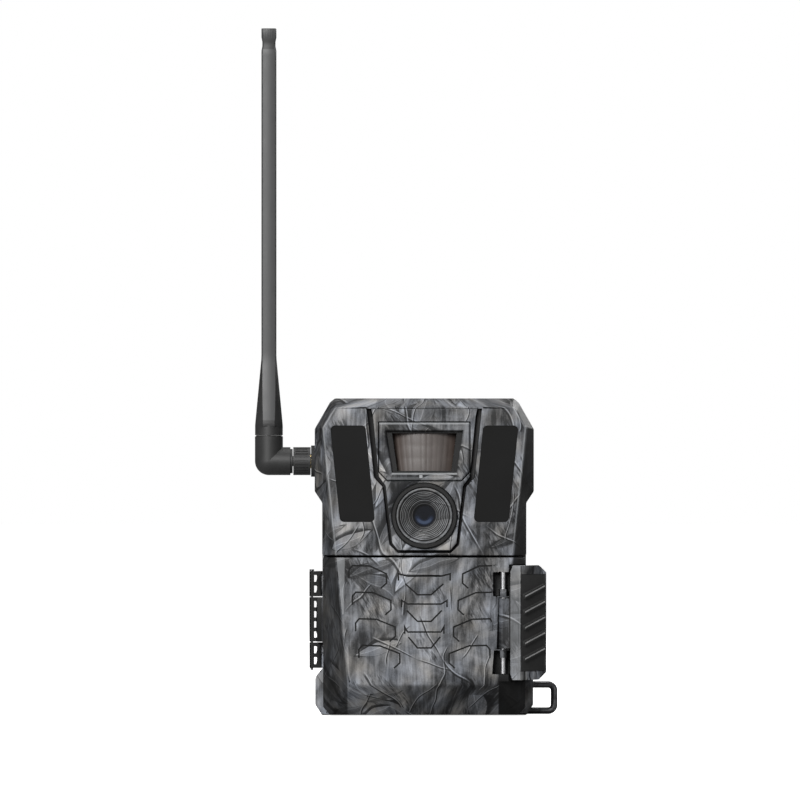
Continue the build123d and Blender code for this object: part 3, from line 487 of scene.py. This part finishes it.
def make_metal(name, colour, rough, stretch=(1.0, 1.0, 0.08), tarnish=0.5):
    """Metal with a drawn grain and dull patches."""
    material, net, place = start_finish(name)
    lines = net.noise(net.stretched(place, stretch), 0.35, 3.0)
    patch = net.noise(place, 3.5, 4.0, 0.65).rise(0.42, 0.68)
    dull = tuple(part * tarnish for part in colour)
    tone = net.blend(patch, (*colour, 1.0), (*dull, 1.0))
    shine = rough + patch * 0.2 + (lines - 0.5) * 0.15
    return end_finish(material, net, tone, shine, net.bump(lines, 0.00002, 0.5), metal=1.0)


def make_filter(name):
    """The infrared windows: near-black satin plastic with a slight orange-peel skin."""
    material, net, place = start_finish(name)
    skin = net.noise(place, 2.2, 2.0)
    dust = net.noise(place, 0.5, 3.0, 0.7).rise(0.66, 0.8)
    cloud = net.noise(place, 17.0, 3.0)
    colour = net.blend(dust * 0.25 + cloud * 0.3, (*grey(0.006, 0.02), 1.0), (*grey(0.018, -0.02), 1.0))
    rough = 0.5 + dust * 0.25 + cloud * 0.08
    return end_finish(material, net, colour, rough, net.bump(skin, 0.00005, 0.2), Specular_IOR_Level=0.06)


def make_fresnel(name):
    """The motion sensor's milky lens: warm grey, browner and darker to both sides, with soft bands."""
    material, net, place = start_finish(name)
    x, _, z = net.split(place)
    out = abs(x).rise(6.5, 16.5)
    band = net.noise(net.vector(x, 0.0, 0.0), 3.2, 2.0)
    cloud = net.noise(place, 4.0, 3.0)
    middle = net.ramp(band * 0.7 + cloud * 0.3, [(0.3, (0.05, 0.041, 0.037)), (0.7, (0.092, 0.079, 0.073))])
    colour = net.blend(out * 0.8, middle, (0.05, 0.031, 0.022, 1.0))
    colour = net.blend((z - 107.0).rise(12.0, 19.0) * 0.35, colour, (0.04, 0.03, 0.026, 1.0))
    shine = 0.36 + cloud * 0.2
    return end_finish(material, net, colour, shine, net.bump(cloud, 0.00004, 0.3), Coat_Roughness=0.2)


def make_glass(name):
    """The lens: a black coated dome with a painted bluish reflection in a ring on its lower side."""
    material, net, place = start_finish(name)
    x, _, z = net.split(place)
    # painted reflection: a bluish ring on the lower side of the glass
    reflection_ring = from_lens(net, x, z).near(3.1, 0.2, 1.5)
    low_side = (LENS_UP - z).rise(-0.8, 2.6)
    stops = [(0.0, (0.005, 0.006, 0.009)), (0.55, (0.014, 0.02, 0.038)), (1.0, (0.04, 0.055, 0.09))]
    colour = net.ramp(reflection_ring * low_side, stops)
    shine = 0.04 + net.noise(place, 2.0, 3.0) * 0.06
    return end_finish(material, net, colour, shine, Coat_Weight=1.0, Coat_Roughness=0.02, IOR=1.6)


def make_clear(name):
    """A clear cover that shows what is under it, with faint wiping marks."""
    material, net, place = start_finish(name)
    smear = net.noise(net.stretched(place, (0.3, 1.0, 1.0)), 2.5, 4.0)
    alpha = 0.14 + smear * 0.12
    shine = 0.05 + smear * 0.12
    return end_finish(material, net, grey(0.05, -0.05), shine, alpha=alpha, Coat_Roughness=0.03)


def make_screen(name):
    """An unlit display: grey-green cells in a fine grid with a darker border."""
    material, net, place = start_finish(name)
    x, _, z = net.split(place)
    cell = abs((x * 2.2).part() - 0.5).rise(0.36, 0.48)
    row = abs((z * 2.2).part() - 0.5).rise(0.36, 0.48)
    border = abs(x + 19.3).rise(14.6, 15.4).most(abs(z - 55.8).rise(8.0, 8.8))
    glaze = net.noise(place, 12.0, 3.0)
    colour = net.ramp(glaze, [(0.3, (0.052, 0.066, 0.060)), (0.7, (0.082, 0.099, 0.090))])
    colour = net.blend(cell.most(row) * 0.35, colour, (0.03, 0.04, 0.037, 1.0))
    colour = net.blend(border, colour, (0.008, 0.008, 0.009, 1.0))
    return end_finish(material, net, colour, 0.22 + glaze * 0.1, net.bump(glaze, 0.00003, 0.2))


def make_board(name, base, trace):
    """A printed board: tracks, vias and pads under a solder mask."""
    material, net, place = start_finish(name)
    x, _, z = net.split(place)
    spread = net.vector(x, z, 0.0)
    edges = net.cells(spread, 0.32, "DISTANCE_TO_EDGE")
    track = (1.0 - edges.rise(0.03, 0.07)).most(abs(((x + z) * 0.55).part() - 0.5).rise(0.38, 0.44) * 0.5)
    pads = 1.0 - net.cells(spread, 0.6).rise(0.16, 0.2)
    colour = net.blend(track * 0.7, (*base, 1.0), (*trace, 1.0))
    colour = net.blend(pads, colour, (0.62, 0.58, 0.46, 1.0))
    normal = net.bump(track + pads, 0.00004, 0.6)
    return end_finish(material, net, colour, 0.42 - pads * 0.12, normal, metal=pads * 0.6)


def make_jacket(name):
    """The cells' printed sleeve: dark, with a pale band and no lettering."""
    material, net, place = start_finish(name)
    _, y, _ = net.split(place)
    band = abs(y + 1.8).rise(13.0, 13.4)
    wear = net.noise(place, 2.0, 4.0)
    colour = net.blend(band, (0.02, 0.022, 0.026, 1.0), (0.33, 0.27, 0.15, 1.0))
    colour = net.blend(wear.rise(0.6, 0.8) * 0.4, colour, (0.2, 0.2, 0.2, 1.0))
    return end_finish(material, net, colour, 0.3 + wear * 0.2, net.bump(wear, 0.00003, 0.3), metal=band * 0.5)


def make_ribbon(name, base, line):
    """A flat cable: parallel conductors under an amber film."""
    material, net, place = start_finish(name)
    x, _, _ = net.split(place)
    wire = abs((x * 1.25).part() - 0.5).rise(0.2, 0.3)
    film = net.noise(place, 3.0, 3.0)
    colour = net.blend(wire, (*line, 1.0), (*base, 1.0))
    return end_finish(material, net, colour, 0.3 + film * 0.2, net.bump(wire, 0.00004, 0.5))


# the finishes, by the record's slot or by the piece that wears them
FINISHES = {}


def make_finishes(look):
    """Makes every finish."""
    made = {
        "camo_shell": make_camo("Woodland_print", look, shell_region),
        "camo_trim": make_camo("Woodland_print_trim", look),
        "upper_front": make_camo("Woodland_print_upper_front", look, upper_region),
        "door_front": make_camo("Woodland_print_door", look, door_region),
        "pod_front": make_camo("Woodland_print_pod", look, pod_region),
        "hood": make_camo("Woodland_print_hood", look, hood_region),
        "sensor_frame": make_camo("Woodland_print_sensor_frame", look, frame_region),
        "lever": make_camo("Woodland_print_lever", look, lever_region),
        "black_plastic": make_plastic("Black_plastic", look.black_tone, 0.42),
        "grey_plastic": make_plastic("Inner_grey_plastic", 0.055, 0.5),
        "aerial_plastic": make_aerial("Aerial_plastic", look.aerial_tone),
        "black_rubber": make_rubber("Black_rubber", 0.012),
        # a pale rubber whose lightness is a painted highlight on the grip's crests
        "crest_highlight_rubber": make_rubber("Crest_highlight_rubber", 0.2),
        "seal_rubber": make_rubber("Seal_silicone", 0.035),
        "ir_filter": make_filter("Infrared_window"),
        "fresnel_plastic": make_fresnel("Motion_lens_plastic"),
        "glass_black": make_glass("Coated_glass"),
        "clear_window": make_clear("Display_cover"),
        "lcd": make_screen("Display_cells"),
        "steel": make_metal("Stainless_steel", (0.56, 0.56, 0.57), 0.3),
        "dark_steel": make_metal("Blackened_steel", (0.13, 0.13, 0.135), 0.36),
        "brass": make_metal("Brass", (0.72, 0.52, 0.24), 0.28),
        "gold_plate": make_metal("Gold_plate", (0.86, 0.65, 0.30), 0.22, tarnish=0.75),
        "nickel": make_metal("Nickel_plate", (0.62, 0.60, 0.56), 0.25),
        "circuit_board": make_board("Green_board", (0.012, 0.075, 0.035), (0.03, 0.15, 0.07)),
        "white_board": make_board("White_board", (0.55, 0.55, 0.54), (0.42, 0.42, 0.40)),
        "led_lens": make_plastic("Lamp_domes", 0.028, 0.12, 0.0, 0.8, 0.00002, 0.2),
        "cell_jacket": make_jacket("Cell_sleeve"),
        "flex": make_ribbon("Flat_cable", (0.26, 0.12, 0.03), (0.42, 0.22, 0.06)),
        "lead_jacket": make_rubber("Lead_jacket", 0.022),
    }
    FINISHES.update(made)


def slot_of(node):
    """The record's slot of a CAD node."""
    return SLOTS[node]


def body_of(node):
    for body, members in frame["record"]["behaviour"]["bodies"].items():
        if node in members:
            return body
    raise LookupError(f"no body lists {node}")


def dress(*names):
    """Gives CAD nodes the finish of their slots."""
    for name in names:
        thing = NODES[name]
        finish = FINISHES[slot_of(name)]
        if not thing.material_slots:
            thing.data.materials.append(finish)
        for slot in thing.material_slots:
            slot.material = finish


# ---------------------------------------------------------------- pieces


def settle(thing, node, stands_for=()):
    """A finished piece takes the body of a CAD node, and stands for the nodes named."""
    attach(thing, body_of(node))
    if stands_for:
        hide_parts(*stands_for)
    return thing


def keep_plain(thing):
    """Applies a piece's modifiers: the same object with one plain mesh."""
    bpy.context.view_layer.update()
    graph = bpy.context.evaluated_depsgraph_get()
    mesh = bpy.data.meshes.new_from_object(thing.evaluated_get(graph))
    mesh.name = thing.name
    thing.modifiers.clear()
    thing.data = mesh
    return thing


def show(name, mesh):
    thing = bpy.data.objects.new(name, mesh)
    bpy.context.scene.collection.objects.link(thing)
    return thing


def soften(mesh, angle):
    """Smooth shading with sharp edges above an angle in degrees."""
    mesh.shade_smooth()
    mesh.set_sharp_from_angle(angle=radians(angle))


def rounded(node, width, finish=None):
    """A copy of a CAD node with its sharp edges rounded, which stands for it."""
    mesh = NODES[node].data.copy()
    mesh.name = node + "_rounded"
    work = bmesh.new()
    work.from_mesh(mesh)
    bmesh.ops.remove_doubles(work, verts=work.verts, dist=0.002 * MM)
    paired = (e for e in work.edges if len(e.link_faces) == 2)
    sharp = [e for e in paired if radians(20) < e.calc_face_angle(0) < radians(170)]
    bmesh.ops.bevel(
        work, geom=sharp_runs(sharp, width * 2.5), offset=width, offset_type="OFFSET", segments=2,
        profile=0.5, affect="EDGES", clamp_overlap=False, miter_outer="SHARP", miter_inner="SHARP",
    )
    work.to_mesh(mesh)
    work.free()
    if "custom_normal" in mesh.attributes:
        mesh.attributes.remove(mesh.attributes["custom_normal"])
    soften(mesh, 40.0)
    mesh.materials.clear()
    mesh.materials.append(FINISHES[finish or slot_of(node)])
    thing = show(node + "_rounded", mesh)
    return settle(thing, node, (node,))


def sharp_runs(edges, least):
    """The edges that are long, and away from any vertex where a short sharp edge ends."""
    crowded = set()
    for edge in edges:
        if edge.calc_length() < least:
            crowded.update(edge.verts)
    return [e for e in edges if e.calc_length() >= least and not crowded.intersection(e.verts)]


def grow(name, finish, inputs, build):
    """Runs a geometry tree on an empty object and gives the result as a plain mesh.
    inputs holds (label, socket type, value); build gets the net and the input sockets by label."""
    tree = bpy.data.node_groups.new(name + "_tree", "GeometryNodeTree")
    tree.interface.new_socket("Geometry", in_out="OUTPUT", socket_type="NodeSocketGeometry")
    for label, kind, _ in inputs:
        tree.interface.new_socket(label, in_out="INPUT", socket_type=kind)
    net = Net(tree)
    given = net.add("NodeGroupInput")
    sockets = {label: net.more(given, label) for label, _, _ in inputs}
    made = net.add("GeometryNodeRealizeInstances", None, {"Geometry": build(net, sockets)})
    made = net.add("GeometryNodeSetMaterial", None, {"Geometry": made, "Material": finish})
    net.add("NodeGroupOutput", None, {"Geometry": made})
    thing = show(name, bpy.data.meshes.new(name))
    growth = thing.modifiers.new("Growth", "NODES")
    growth.node_group = tree
    places = {item.name: item.identifier for item in tree.interface.items_tree if item.in_out == "INPUT"}
    for label, _, value in inputs:
        growth[places[label]] = value
    return keep_plain(thing)


def grid_by_rule(net, across, along, place):
    """A sheet of across by along points, each put where place(s, t) says, with s and t from 0 to 1."""
    values = {"Size X": 1.0, "Size Y": 1.0, "Vertices X": across, "Vertices Y": along}
    sheet = net.add("GeometryNodeMeshGrid", None, values)
    s, t, _ = net.split(net.add("GeometryNodeInputPosition"))
    values = {"Geometry": sheet, "Position": place(s + 0.5, t + 0.5)}
    return net.add("GeometryNodeSetPosition", None, values)


def turn_out(thing):
    """Welds a closed shape's seams and points its faces outwards."""
    work = bmesh.new()
    work.from_mesh(thing.data)
    bmesh.ops.remove_doubles(work, verts=work.verts, dist=0.001 * MM)
    bmesh.ops.recalc_face_normals(work, faces=work.faces)
    work.to_mesh(thing.data)
    work.free()
    return thing


def close_rim(thing):
    """Joins the open rims of a front and a back sheet with walls, and points every face outwards."""
    work = bmesh.new()
    work.from_mesh(thing.data)
    rims = [e for e in work.edges if e.is_boundary]
    bmesh.ops.bridge_loops(work, edges=rims)
    bmesh.ops.recalc_face_normals(work, faces=work.faces)
    work.to_mesh(thing.data)
    work.free()


def finish_mast(thing):
    """Closes the mast's ends, gives it its round foot and rounds its long edges."""
    work = bmesh.new()
    work.from_mesh(thing.data)
    bmesh.ops.remove_doubles(work, verts=work.verts, dist=0.001 * MM)
    bmesh.ops.holes_fill(work, edges=[e for e in work.edges if e.is_boundary])
    bmesh.ops.recalc_face_normals(work, faces=work.faces)
    sharp = [e for e in work.edges if radians(25) < e.calc_face_angle(0) and e.calc_length() > 0.2 * MM]
    bmesh.ops.bevel(
        work, geom=sharp, offset=0.22 * MM, offset_type="OFFSET", segments=2, profile=0.5, affect="EDGES",
        clamp_overlap=True,
    )
    bmesh.ops.create_cone(
        work, cap_ends=True, segments=64, radius1=MAST_HALF, radius2=MAST_HALF, depth=MAST_FOOT_TALL,
        matrix=Matrix.Translation((AERIAL_X, AERIAL_Y, MAST_FOOT_Z)),
    )
    work.to_mesh(thing.data)
    work.free()
    soften(thing.data, 32.0)
    thing.data.materials.clear()
    thing.data.materials.append(FINISHES["aerial_plastic"])


def mast_tree(net, given):
    """The mast: eight corners at each height, wide and nearly regular at its foot, flat-fronted above."""

    def place(s, t):
        corner = net.math("FLOORED_MODULO", (s * MAST_SIDES + 0.01).floor(), MAST_SIDES)
        quarter = net.math("FLOORED_MODULO", corner, MAST_SIDES / 2)
        flank = (quarter > 0.5) * (quarter < 2.5)
        way_x = 1.0 - (corner > 3.5) * 2.0
        way_y = (corner > 1.5) * (corner < 5.5) * 2.0 - 1.0
        height = given["Foot height"] + (given["Top height"] - given["Foot height"]) * t
        taper = net.span(height, given["Taper start"], given["Taper end"], 0.0, 1.0)
        wide = net.between(taper, given["Foot half width"], given["Top half width"])
        front = wide * net.between(taper, given["Foot flat share"], given["Top flat share"])
        edge = wide * net.between(taper, given["Foot flat share"], given["Top side share"])
        band = (height > given["Band start"]) * (height < given["Band end"]) * given["Band depth"]
        wide, front = wide - band, front - band * 0.9
        x = net.between(flank, front, wide) * way_x
        y = net.between(flank, wide, edge) * way_y
        return net.vector(x + AERIAL_X, y + AERIAL_Y, height)

    return grid_by_rule(net, MAST_SIDES + 1, given["Rings"], place)


def hood_ribs_tree(net, given):
    """Fine rings that step inwards and backwards to the glass."""
    line = net.add("GeometryNodeMeshLine", None, {"Count": given["Ribs"], "Offset": (0.0, 0.0, 0.0)})
    share = net.add("GeometryNodeInputIndex") / (given["Ribs"] - 1.0)
    depth = net.between(share, given["First depth"], given["Last depth"])
    radius = net.between(share, given["Outer radius"], given["Inner radius"])
    place = net.vector(0.0, depth, LENS_Z)
    line = net.add("GeometryNodeSetPosition", None, {"Geometry": line, "Position": place})
    circle = net.add("GeometryNodeCurvePrimitiveCircle", None, {"Resolution": 96, "Radius": 1.0})
    values = {"Points": line, "Instance": circle, "Rotation": (pi / 2, 0.0, 0.0)}
    values["Scale"] = net.vector(radius, radius, 1.0)
    rings = net.add("GeometryNodeInstanceOnPoints", None, values)
    rings = net.add("GeometryNodeRealizeInstances", None, {"Geometry": rings})
    values = {"Resolution": 8, "Radius": given["Thickness"]}
    section = net.add("GeometryNodeCurvePrimitiveCircle", None, values)
    return net.add("GeometryNodeCurveToMesh", None, {"Curve": rings, "Profile Curve": section})


def crests_tree(net, given):
    """Slanting rounded crests up the latch's slope, one for each finger rib."""
    (x0, y0), (x1, y1) = GRIP_LINE
    long = hypot(x1 - x0, y1 - y0)
    along = Vector(((x1 - x0) / long, (y1 - y0) / long, 0.0))
    out = Vector((along.y, -along.x, 0.0))
    middle = Vector(((x0 + x1) / 2, (y0 + y1) / 2, GRIP_Z)) + out * CREST_LIFT
    line = net.add("GeometryNodeMeshLine", None, {"Count": given["Ribs"], "Offset": (0.0, 0.0, 0.0)})
    row = net.add("GeometryNodeInputIndex") - (given["Ribs"] - 1.0) / 2.0
    place = net.vector(middle.x, middle.y, row * given["Pitch"] + middle.z)
    line = net.add("GeometryNodeSetPosition", None, {"Geometry": line, "Position": place})
    slant = along * cos(GRIP_SLANT) + Vector((0, 0, 1)) * sin(GRIP_SLANT)
    turn = slant.to_track_quat("Z", "Y").to_euler()
    bar = {"Vertices": 10, "Side Segments": 1, "Radius": given["Thickness"], "Depth": given["Length"]}
    bar = net.add("GeometryNodeMeshCylinder", None, bar)
    values = {"Points": line, "Instance": bar, "Rotation": tuple(turn)}
    return net.add("GeometryNodeInstanceOnPoints", None, values)


def facets_tree(net, given):
    """The motion sensor's lens: a bowed sheet in upright facets, each a little crowned, with a back wall."""
    radius, thick = given["Bow radius"], given["Thickness"]

    def sheet(inwards):
        def place(s, t):
            high = net.between(t, given["Low"], given["High"])
            half = net.between(t, given["Low half width"], given["High half width"])
            x = (s * 2.0 - 1.0) * half
            facet = (s * given["Facets"]).part() - 0.5
            rows = (t * 3.0).part() - 0.5
            crown = (0.25 - facet * facet) * FACET_CROWN + (0.25 - rows * rows) * ROW_CROWN
            bow = radius - net.math("SQRT", radius * radius - x * x)
            y = given["Front depth"] + bow + (thick if inwards else 0.15 * MM - crown)
            return net.vector(x, y, high)

        return grid_by_rule(net, 89, 25, place)

    both = net.add("GeometryNodeJoinGeometry")
    back = net.add("GeometryNodeFlipFaces", None, {"Mesh": sheet(True)})
    for part in (sheet(False), back):
        net.tree.links.new(part.socket, both.socket.node.inputs["Geometry"])
    return both


class CamoLook(bpy.types.PropertyGroup):
    """Tones of the outer finishes."""

    contrast: bpy.props.FloatProperty(
        name="Contrast", description="How far the print's tones lie apart", default=1.0, min=0.2, max=2.0
    )
    lift: bpy.props.FloatProperty(
        name="Lift", description="How much lighter the whole print is", default=0.0, min=-0.5, max=0.5
    )
    black_tone: bpy.props.FloatProperty(
        name="Black plastic", description="Strength of the black plastic", default=0.006, min=0.0, max=1.0
    )
    aerial_tone: bpy.props.FloatProperty(
        name="Aerial plastic", description="Strength of the aerial's plastic", default=0.021, min=0.0, max=1.0
    )


class EdgeSizes(bpy.types.PropertyGroup):
    """How far edges are rounded."""

    shell: bpy.props.FloatProperty(
        name="Shell edges", description="Rounding of the outer shells", default=0.45 * MM,
        unit="LENGTH", precision=5,
    )
    trim: bpy.props.FloatProperty(
        name="Trim edges", description="Rounding of the smaller front pieces", default=0.3 * MM,
        unit="LENGTH", precision=5,
    )


class Step:
    """What the operators share."""

    bl_options = {"REGISTER", "UNDO"}

    def execute(self, context):
        self.make(context.scene.camo_look, context.scene.edge_sizes)
        return {"FINISHED"}


class TRAILCAM_OT_finishes(Step, bpy.types.Operator):
    """Make every finish"""

    bl_idname = "trailcam.finishes"
    bl_label = "Finishes"

    def make(self, look, edges):
        make_finishes(look)


class TRAILCAM_OT_shells(Step, bpy.types.Operator):
    """Round and print the rear shell, the upper front and the door"""

    bl_idname = "trailcam.shells"
    bl_label = "Shells"

    def make(self, look, edges):
        rounded("front_housing", edges.shell, finish="upper_front")
        rounded("door", edges.shell, finish="door_front")
        rounded("rear_shell", edges.shell)


class TRAILCAM_OT_front(Step, bpy.types.Operator):
    """Round and print the centre pod, the sensor's frame and the infrared windows"""

    bl_idname = "trailcam.front"
    bl_label = "Front trim"

    def make(self, look, edges):
        rounded("centre_pod", edges.trim, finish="pod_front")
        rounded("pir_frame", edges.trim, finish="sensor_frame")
        for node in ("ir_window_left", "ir_window_right"):
            rounded(node, edges.trim)
        dress("pir_shroud", "pir_sensor", "pir_board", "ir_boards", "ir_leds")
        low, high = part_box("pir_lens")
        inputs = (
            ("Bow radius", "NodeSocketFloat", 22.0 * MM),
            ("Thickness", "NodeSocketFloat", 0.8 * MM),
            ("Low", "NodeSocketFloat", low.z),
            ("High", "NodeSocketFloat", high.z),
            ("Low half width", "NodeSocketFloat", 11.85 * MM),
            ("High half width", "NodeSocketFloat", 14.1 * MM),
            ("Front depth", "NodeSocketFloat", low.y),
            ("Facets", "NodeSocketFloat", 11.0),
        )
        lens = grow("Motion_lens", FINISHES["fresnel_plastic"], inputs, facets_tree)
        close_rim(lens)
        soften(lens.data, 35.0)
        settle(lens, "pir_lens", ("pir_lens",))


class TRAILCAM_OT_lens(Step, bpy.types.Operator):
    """Make the lens ring, its ribbed hood and the glass"""

    bl_idname = "trailcam.lens"
    bl_label = "Lens"

    def make(self, look, edges):
        rounded("lens_ring", edges.trim)
        dress("lens_glass", "lens_barrel", "image_board")
        rounded("lens_hood", HOOD_EDGE, finish="hood")
        inputs = (
            ("Ribs", "NodeSocketInt", 9),
            ("First depth", "NodeSocketFloat", -38.95 * MM),
            ("Last depth", "NodeSocketFloat", -35.35 * MM),
            ("Outer radius", "NodeSocketFloat", 10.9 * MM),
            ("Inner radius", "NodeSocketFloat", 5.15 * MM),
            ("Thickness", "NodeSocketFloat", 0.17 * MM),
        )
        ribs = grow("Hood_ribs", FINISHES["hood"], inputs, hood_ribs_tree)
        ribs.data.shade_smooth()
        settle(turn_out(ribs), "lens_hood")


class TRAILCAM_OT_latch(Step, bpy.types.Operator):
    """Make the latch lever and its ribbed grip"""

    bl_idname = "trailcam.latch"
    bl_label = "Latch"

    def make(self, look, edges):
        rounded("latch_lever", edges.trim, finish="lever")
        rounded("latch_grip", edges.trim)
        inputs = (
            ("Ribs", "NodeSocketInt", 5),
            ("Pitch", "NodeSocketFloat", 6.9 * MM),
            ("Length", "NodeSocketFloat", 14.4 * MM),
            ("Thickness", "NodeSocketFloat", 0.34 * MM),
        )
        # the crests wear a pale rubber: painted highlight along the grip's rib crests
        crests = grow("Grip_crests", FINISHES["crest_highlight_rubber"], inputs, crests_tree)
        settle(turn_out(crests), "latch_grip")
        dress("latch_pin")


class TRAILCAM_OT_aerial(Step, bpy.types.Operator):
    """Make the aerial: mast, elbow, collar and their seat"""

    bl_idname = "trailcam.aerial"
    bl_label = "Aerial"

    def make(self, look, edges):
        dress("antenna_elbow", "antenna_collar", "antenna_boss")
        dress("antenna_jack", "antenna_element", "antenna_lead")
        inputs = (
            ("Rings", "NodeSocketInt", 90),
            ("Foot half width", "NodeSocketFloat", MAST_HALF),
            ("Top half width", "NodeSocketFloat", 3.32 * MM),
            ("Taper start", "NodeSocketFloat", 128.0 * MM),
            ("Taper end", "NodeSocketFloat", 158.0 * MM),
            ("Foot height", "NodeSocketFloat", 127.4 * MM),
            ("Top height", "NodeSocketFloat", 304.0 * MM),
            ("Foot flat share", "NodeSocketFloat", 0.415),
            ("Top flat share", "NodeSocketFloat", 0.86),
            ("Top side share", "NodeSocketFloat", 0.3),
            ("Band start", "NodeSocketFloat", 295.0 * MM),
            ("Band end", "NodeSocketFloat", 299.5 * MM),
            ("Band depth", "NodeSocketFloat", 0.4 * MM),
        )
        mast = grow("Aerial_mast", FINISHES["aerial_plastic"], inputs, mast_tree)
        finish_mast(mast)
        settle(mast, "antenna_mast", ("antenna_mast",))


class TRAILCAM_OT_metal(Step, bpy.types.Operator):
    """Finish the loop, hinge pin, screws and thread insert"""

    bl_idname = "trailcam.metal"
    bl_label = "Metal parts"

    def make(self, look, edges):
        dress("lock_loop", "hinge_pin", "tripod_insert", "housing_screws", "housing_seal", "door_gasket")


class TRAILCAM_OT_inside(Step, bpy.types.Operator):
    """Finish everything else, most of it behind the open door"""

    bl_idname = "trailcam.inside"
    bl_label = "Inside"

    def make(self, look, edges):
        dress(*NODES)


class TRAILCAM_OT_stage(Step, bpy.types.Operator):
    """Set up the pale floor, the soft lights and the camera"""

    bl_idname = "trailcam.stage"
    bl_label = "Stage"

    def make(self, look, edges):
        make_stage()


PIECES = (
    TRAILCAM_OT_finishes,
    TRAILCAM_OT_shells,
    TRAILCAM_OT_front,
    TRAILCAM_OT_lens,
    TRAILCAM_OT_latch,
    TRAILCAM_OT_aerial,
    TRAILCAM_OT_metal,
    TRAILCAM_OT_inside,
    TRAILCAM_OT_stage,
)


class TRAILCAM_PT_panel(bpy.types.Panel):
    """Lists the settings and the pieces"""

    bl_label = "Trail camera"
    bl_idname = "TRAILCAM_PT_panel"
    bl_space_type = "VIEW_3D"
    bl_region_type = "UI"
    bl_category = "Trail camera"

    def draw(self, context):
        for group in (context.scene.camo_look, context.scene.edge_sizes):
            for key in group.__annotations__:
                self.layout.prop(group, key)
        for piece in PIECES:
            self.layout.operator(piece.bl_idname)


# ---------------------------------------------------------------- stage


FLOOR_HALF = 9.0  # m, half the floor's side
FLOOR_GAP = 0.0003  # m, between the floor and the feet
WHITE = (1.0, 1.0, 1.0, 1.0)
CAMERA_LENS = 600.0  # mm
CAMERA_PLACE = (-0.0107, -5.905, 0.1393)
LAMP_AIM = (0.0, 0.0, 0.09)
LAMPS = (  # name, place in metres, size in metres, power in watts
    ("Key", (-0.55, -1.6, 0.75), 0.7, 42.0),
    ("Fill", (1.1, -1.5, 0.35), 0.9, 3.0),
    ("Top", (0.0, 0.1, 1.4), 0.8, 9.0),
    ("Rear", (0.8, 1.5, 0.95), 0.7, 16.0),
)


def make_paper(name):
    """Studio paper: it looks white and gives little light back to the object."""
    material, net, place = start_finish(name)
    tooth = net.noise(place, 3.0, 3.0)
    colour = net.ramp(tooth, [(0.3, grey(0.86)), (0.7, grey(0.9))])
    lit = net.add("ShaderNodeBsdfDiffuse", None, {"Color": colour})
    glow = net.add("ShaderNodeEmission", None, {"Color": WHITE, "Strength": 0.87})
    seen = net.add("ShaderNodeAddShader", None, {0: lit, 1: glow})
    dim = net.add("ShaderNodeBsdfDiffuse", None, {"Color": (*grey(0.28), 1.0)})
    direct = net.add("ShaderNodeLightPath", None, None, "Is Camera Ray")
    paper = net.add("ShaderNodeMixShader", None, {0: direct, 1: dim, 2: seen})
    net.add("ShaderNodeOutputMaterial", None, {"Surface": paper})
    return material


def make_stage():
    """A pale floor, a soft key lamp from the upper left, weaker lamps and the camera straight in front."""
    floor_mesh = bpy.data.meshes.new("Floor_paper")
    turns = ((-1, -1), (1, -1), (1, 1), (-1, 1))
    points = [(x * FLOOR_HALF, y * FLOOR_HALF, -FLOOR_GAP) for x, y in turns]
    floor_mesh.from_pydata(points, [], [(0, 1, 2, 3)])
    floor = show("Floor_paper", floor_mesh)
    floor_mesh.materials.append(make_paper("Pale_paper"))
    for name, place, size, power in LAMPS:
        lamp = bpy.data.lights.new(name, "AREA")
        lamp.size = size
        lamp.energy = power
        thing = bpy.data.objects.new(name, lamp)
        bpy.context.scene.collection.objects.link(thing)
        thing.matrix_world = aimed(place, LAMP_AIM)
    bpy.context.scene.world = make_surround("Studio")
    lens = bpy.data.cameras.new("Camera")
    lens.lens = CAMERA_LENS
    lens.clip_end = 100.0
    camera = bpy.data.objects.new("Camera", lens)
    bpy.context.scene.collection.objects.link(camera)
    camera.matrix_world = aimed(CAMERA_PLACE, (CAMERA_PLACE[0], 0.0, CAMERA_PLACE[2]))
    bpy.context.scene.camera = camera
    bpy.context.scene.view_settings.view_transform = "Standard"


def make_surround(name):
    """The studio round the object: seen as white paper, and giving only a weak even light."""
    world = bpy.data.worlds.new(name)
    world.use_nodes = True
    net = Net(world.node_tree)
    direct = net.add("ShaderNodeLightPath", None, None, "Is Camera Ray")
    weak = net.add("ShaderNodeBackground", None, {"Color": WHITE, "Strength": 0.16})
    white = net.add("ShaderNodeBackground", None, {"Color": WHITE, "Strength": 1.0})
    seen = net.add("ShaderNodeMixShader", None, {0: direct, 1: weak, 2: white})
    net.add("ShaderNodeOutputWorld", None, {"Surface": seen})
    return world


def aimed(place, aim):
    """A placing at one point that looks at another."""
    back = (Vector(place) - Vector(aim)).normalized()
    return Matrix.Translation(place) @ back.to_track_quat("Z", "Y").to_matrix().to_4x4()


def register():
    for kind in (CamoLook, EdgeSizes, *PIECES, TRAILCAM_PT_panel):
        bpy.utils.register_class(kind)
    bpy.types.Scene.camo_look = bpy.props.PointerProperty(type=CamoLook)
    bpy.types.Scene.edge_sizes = bpy.props.PointerProperty(type=EdgeSizes)


def unregister():
    del bpy.types.Scene.camo_look
    del bpy.types.Scene.edge_sizes
    for kind in (TRAILCAM_PT_panel, *reversed(PIECES), EdgeSizes, CamoLook):
        bpy.utils.unregister_class(kind)


def main():
    register()
    for piece in PIECES:
        group, name = piece.bl_idname.split(".")
        getattr(getattr(bpy.ops, group), name)()


if __name__ == "__main__":
    main()
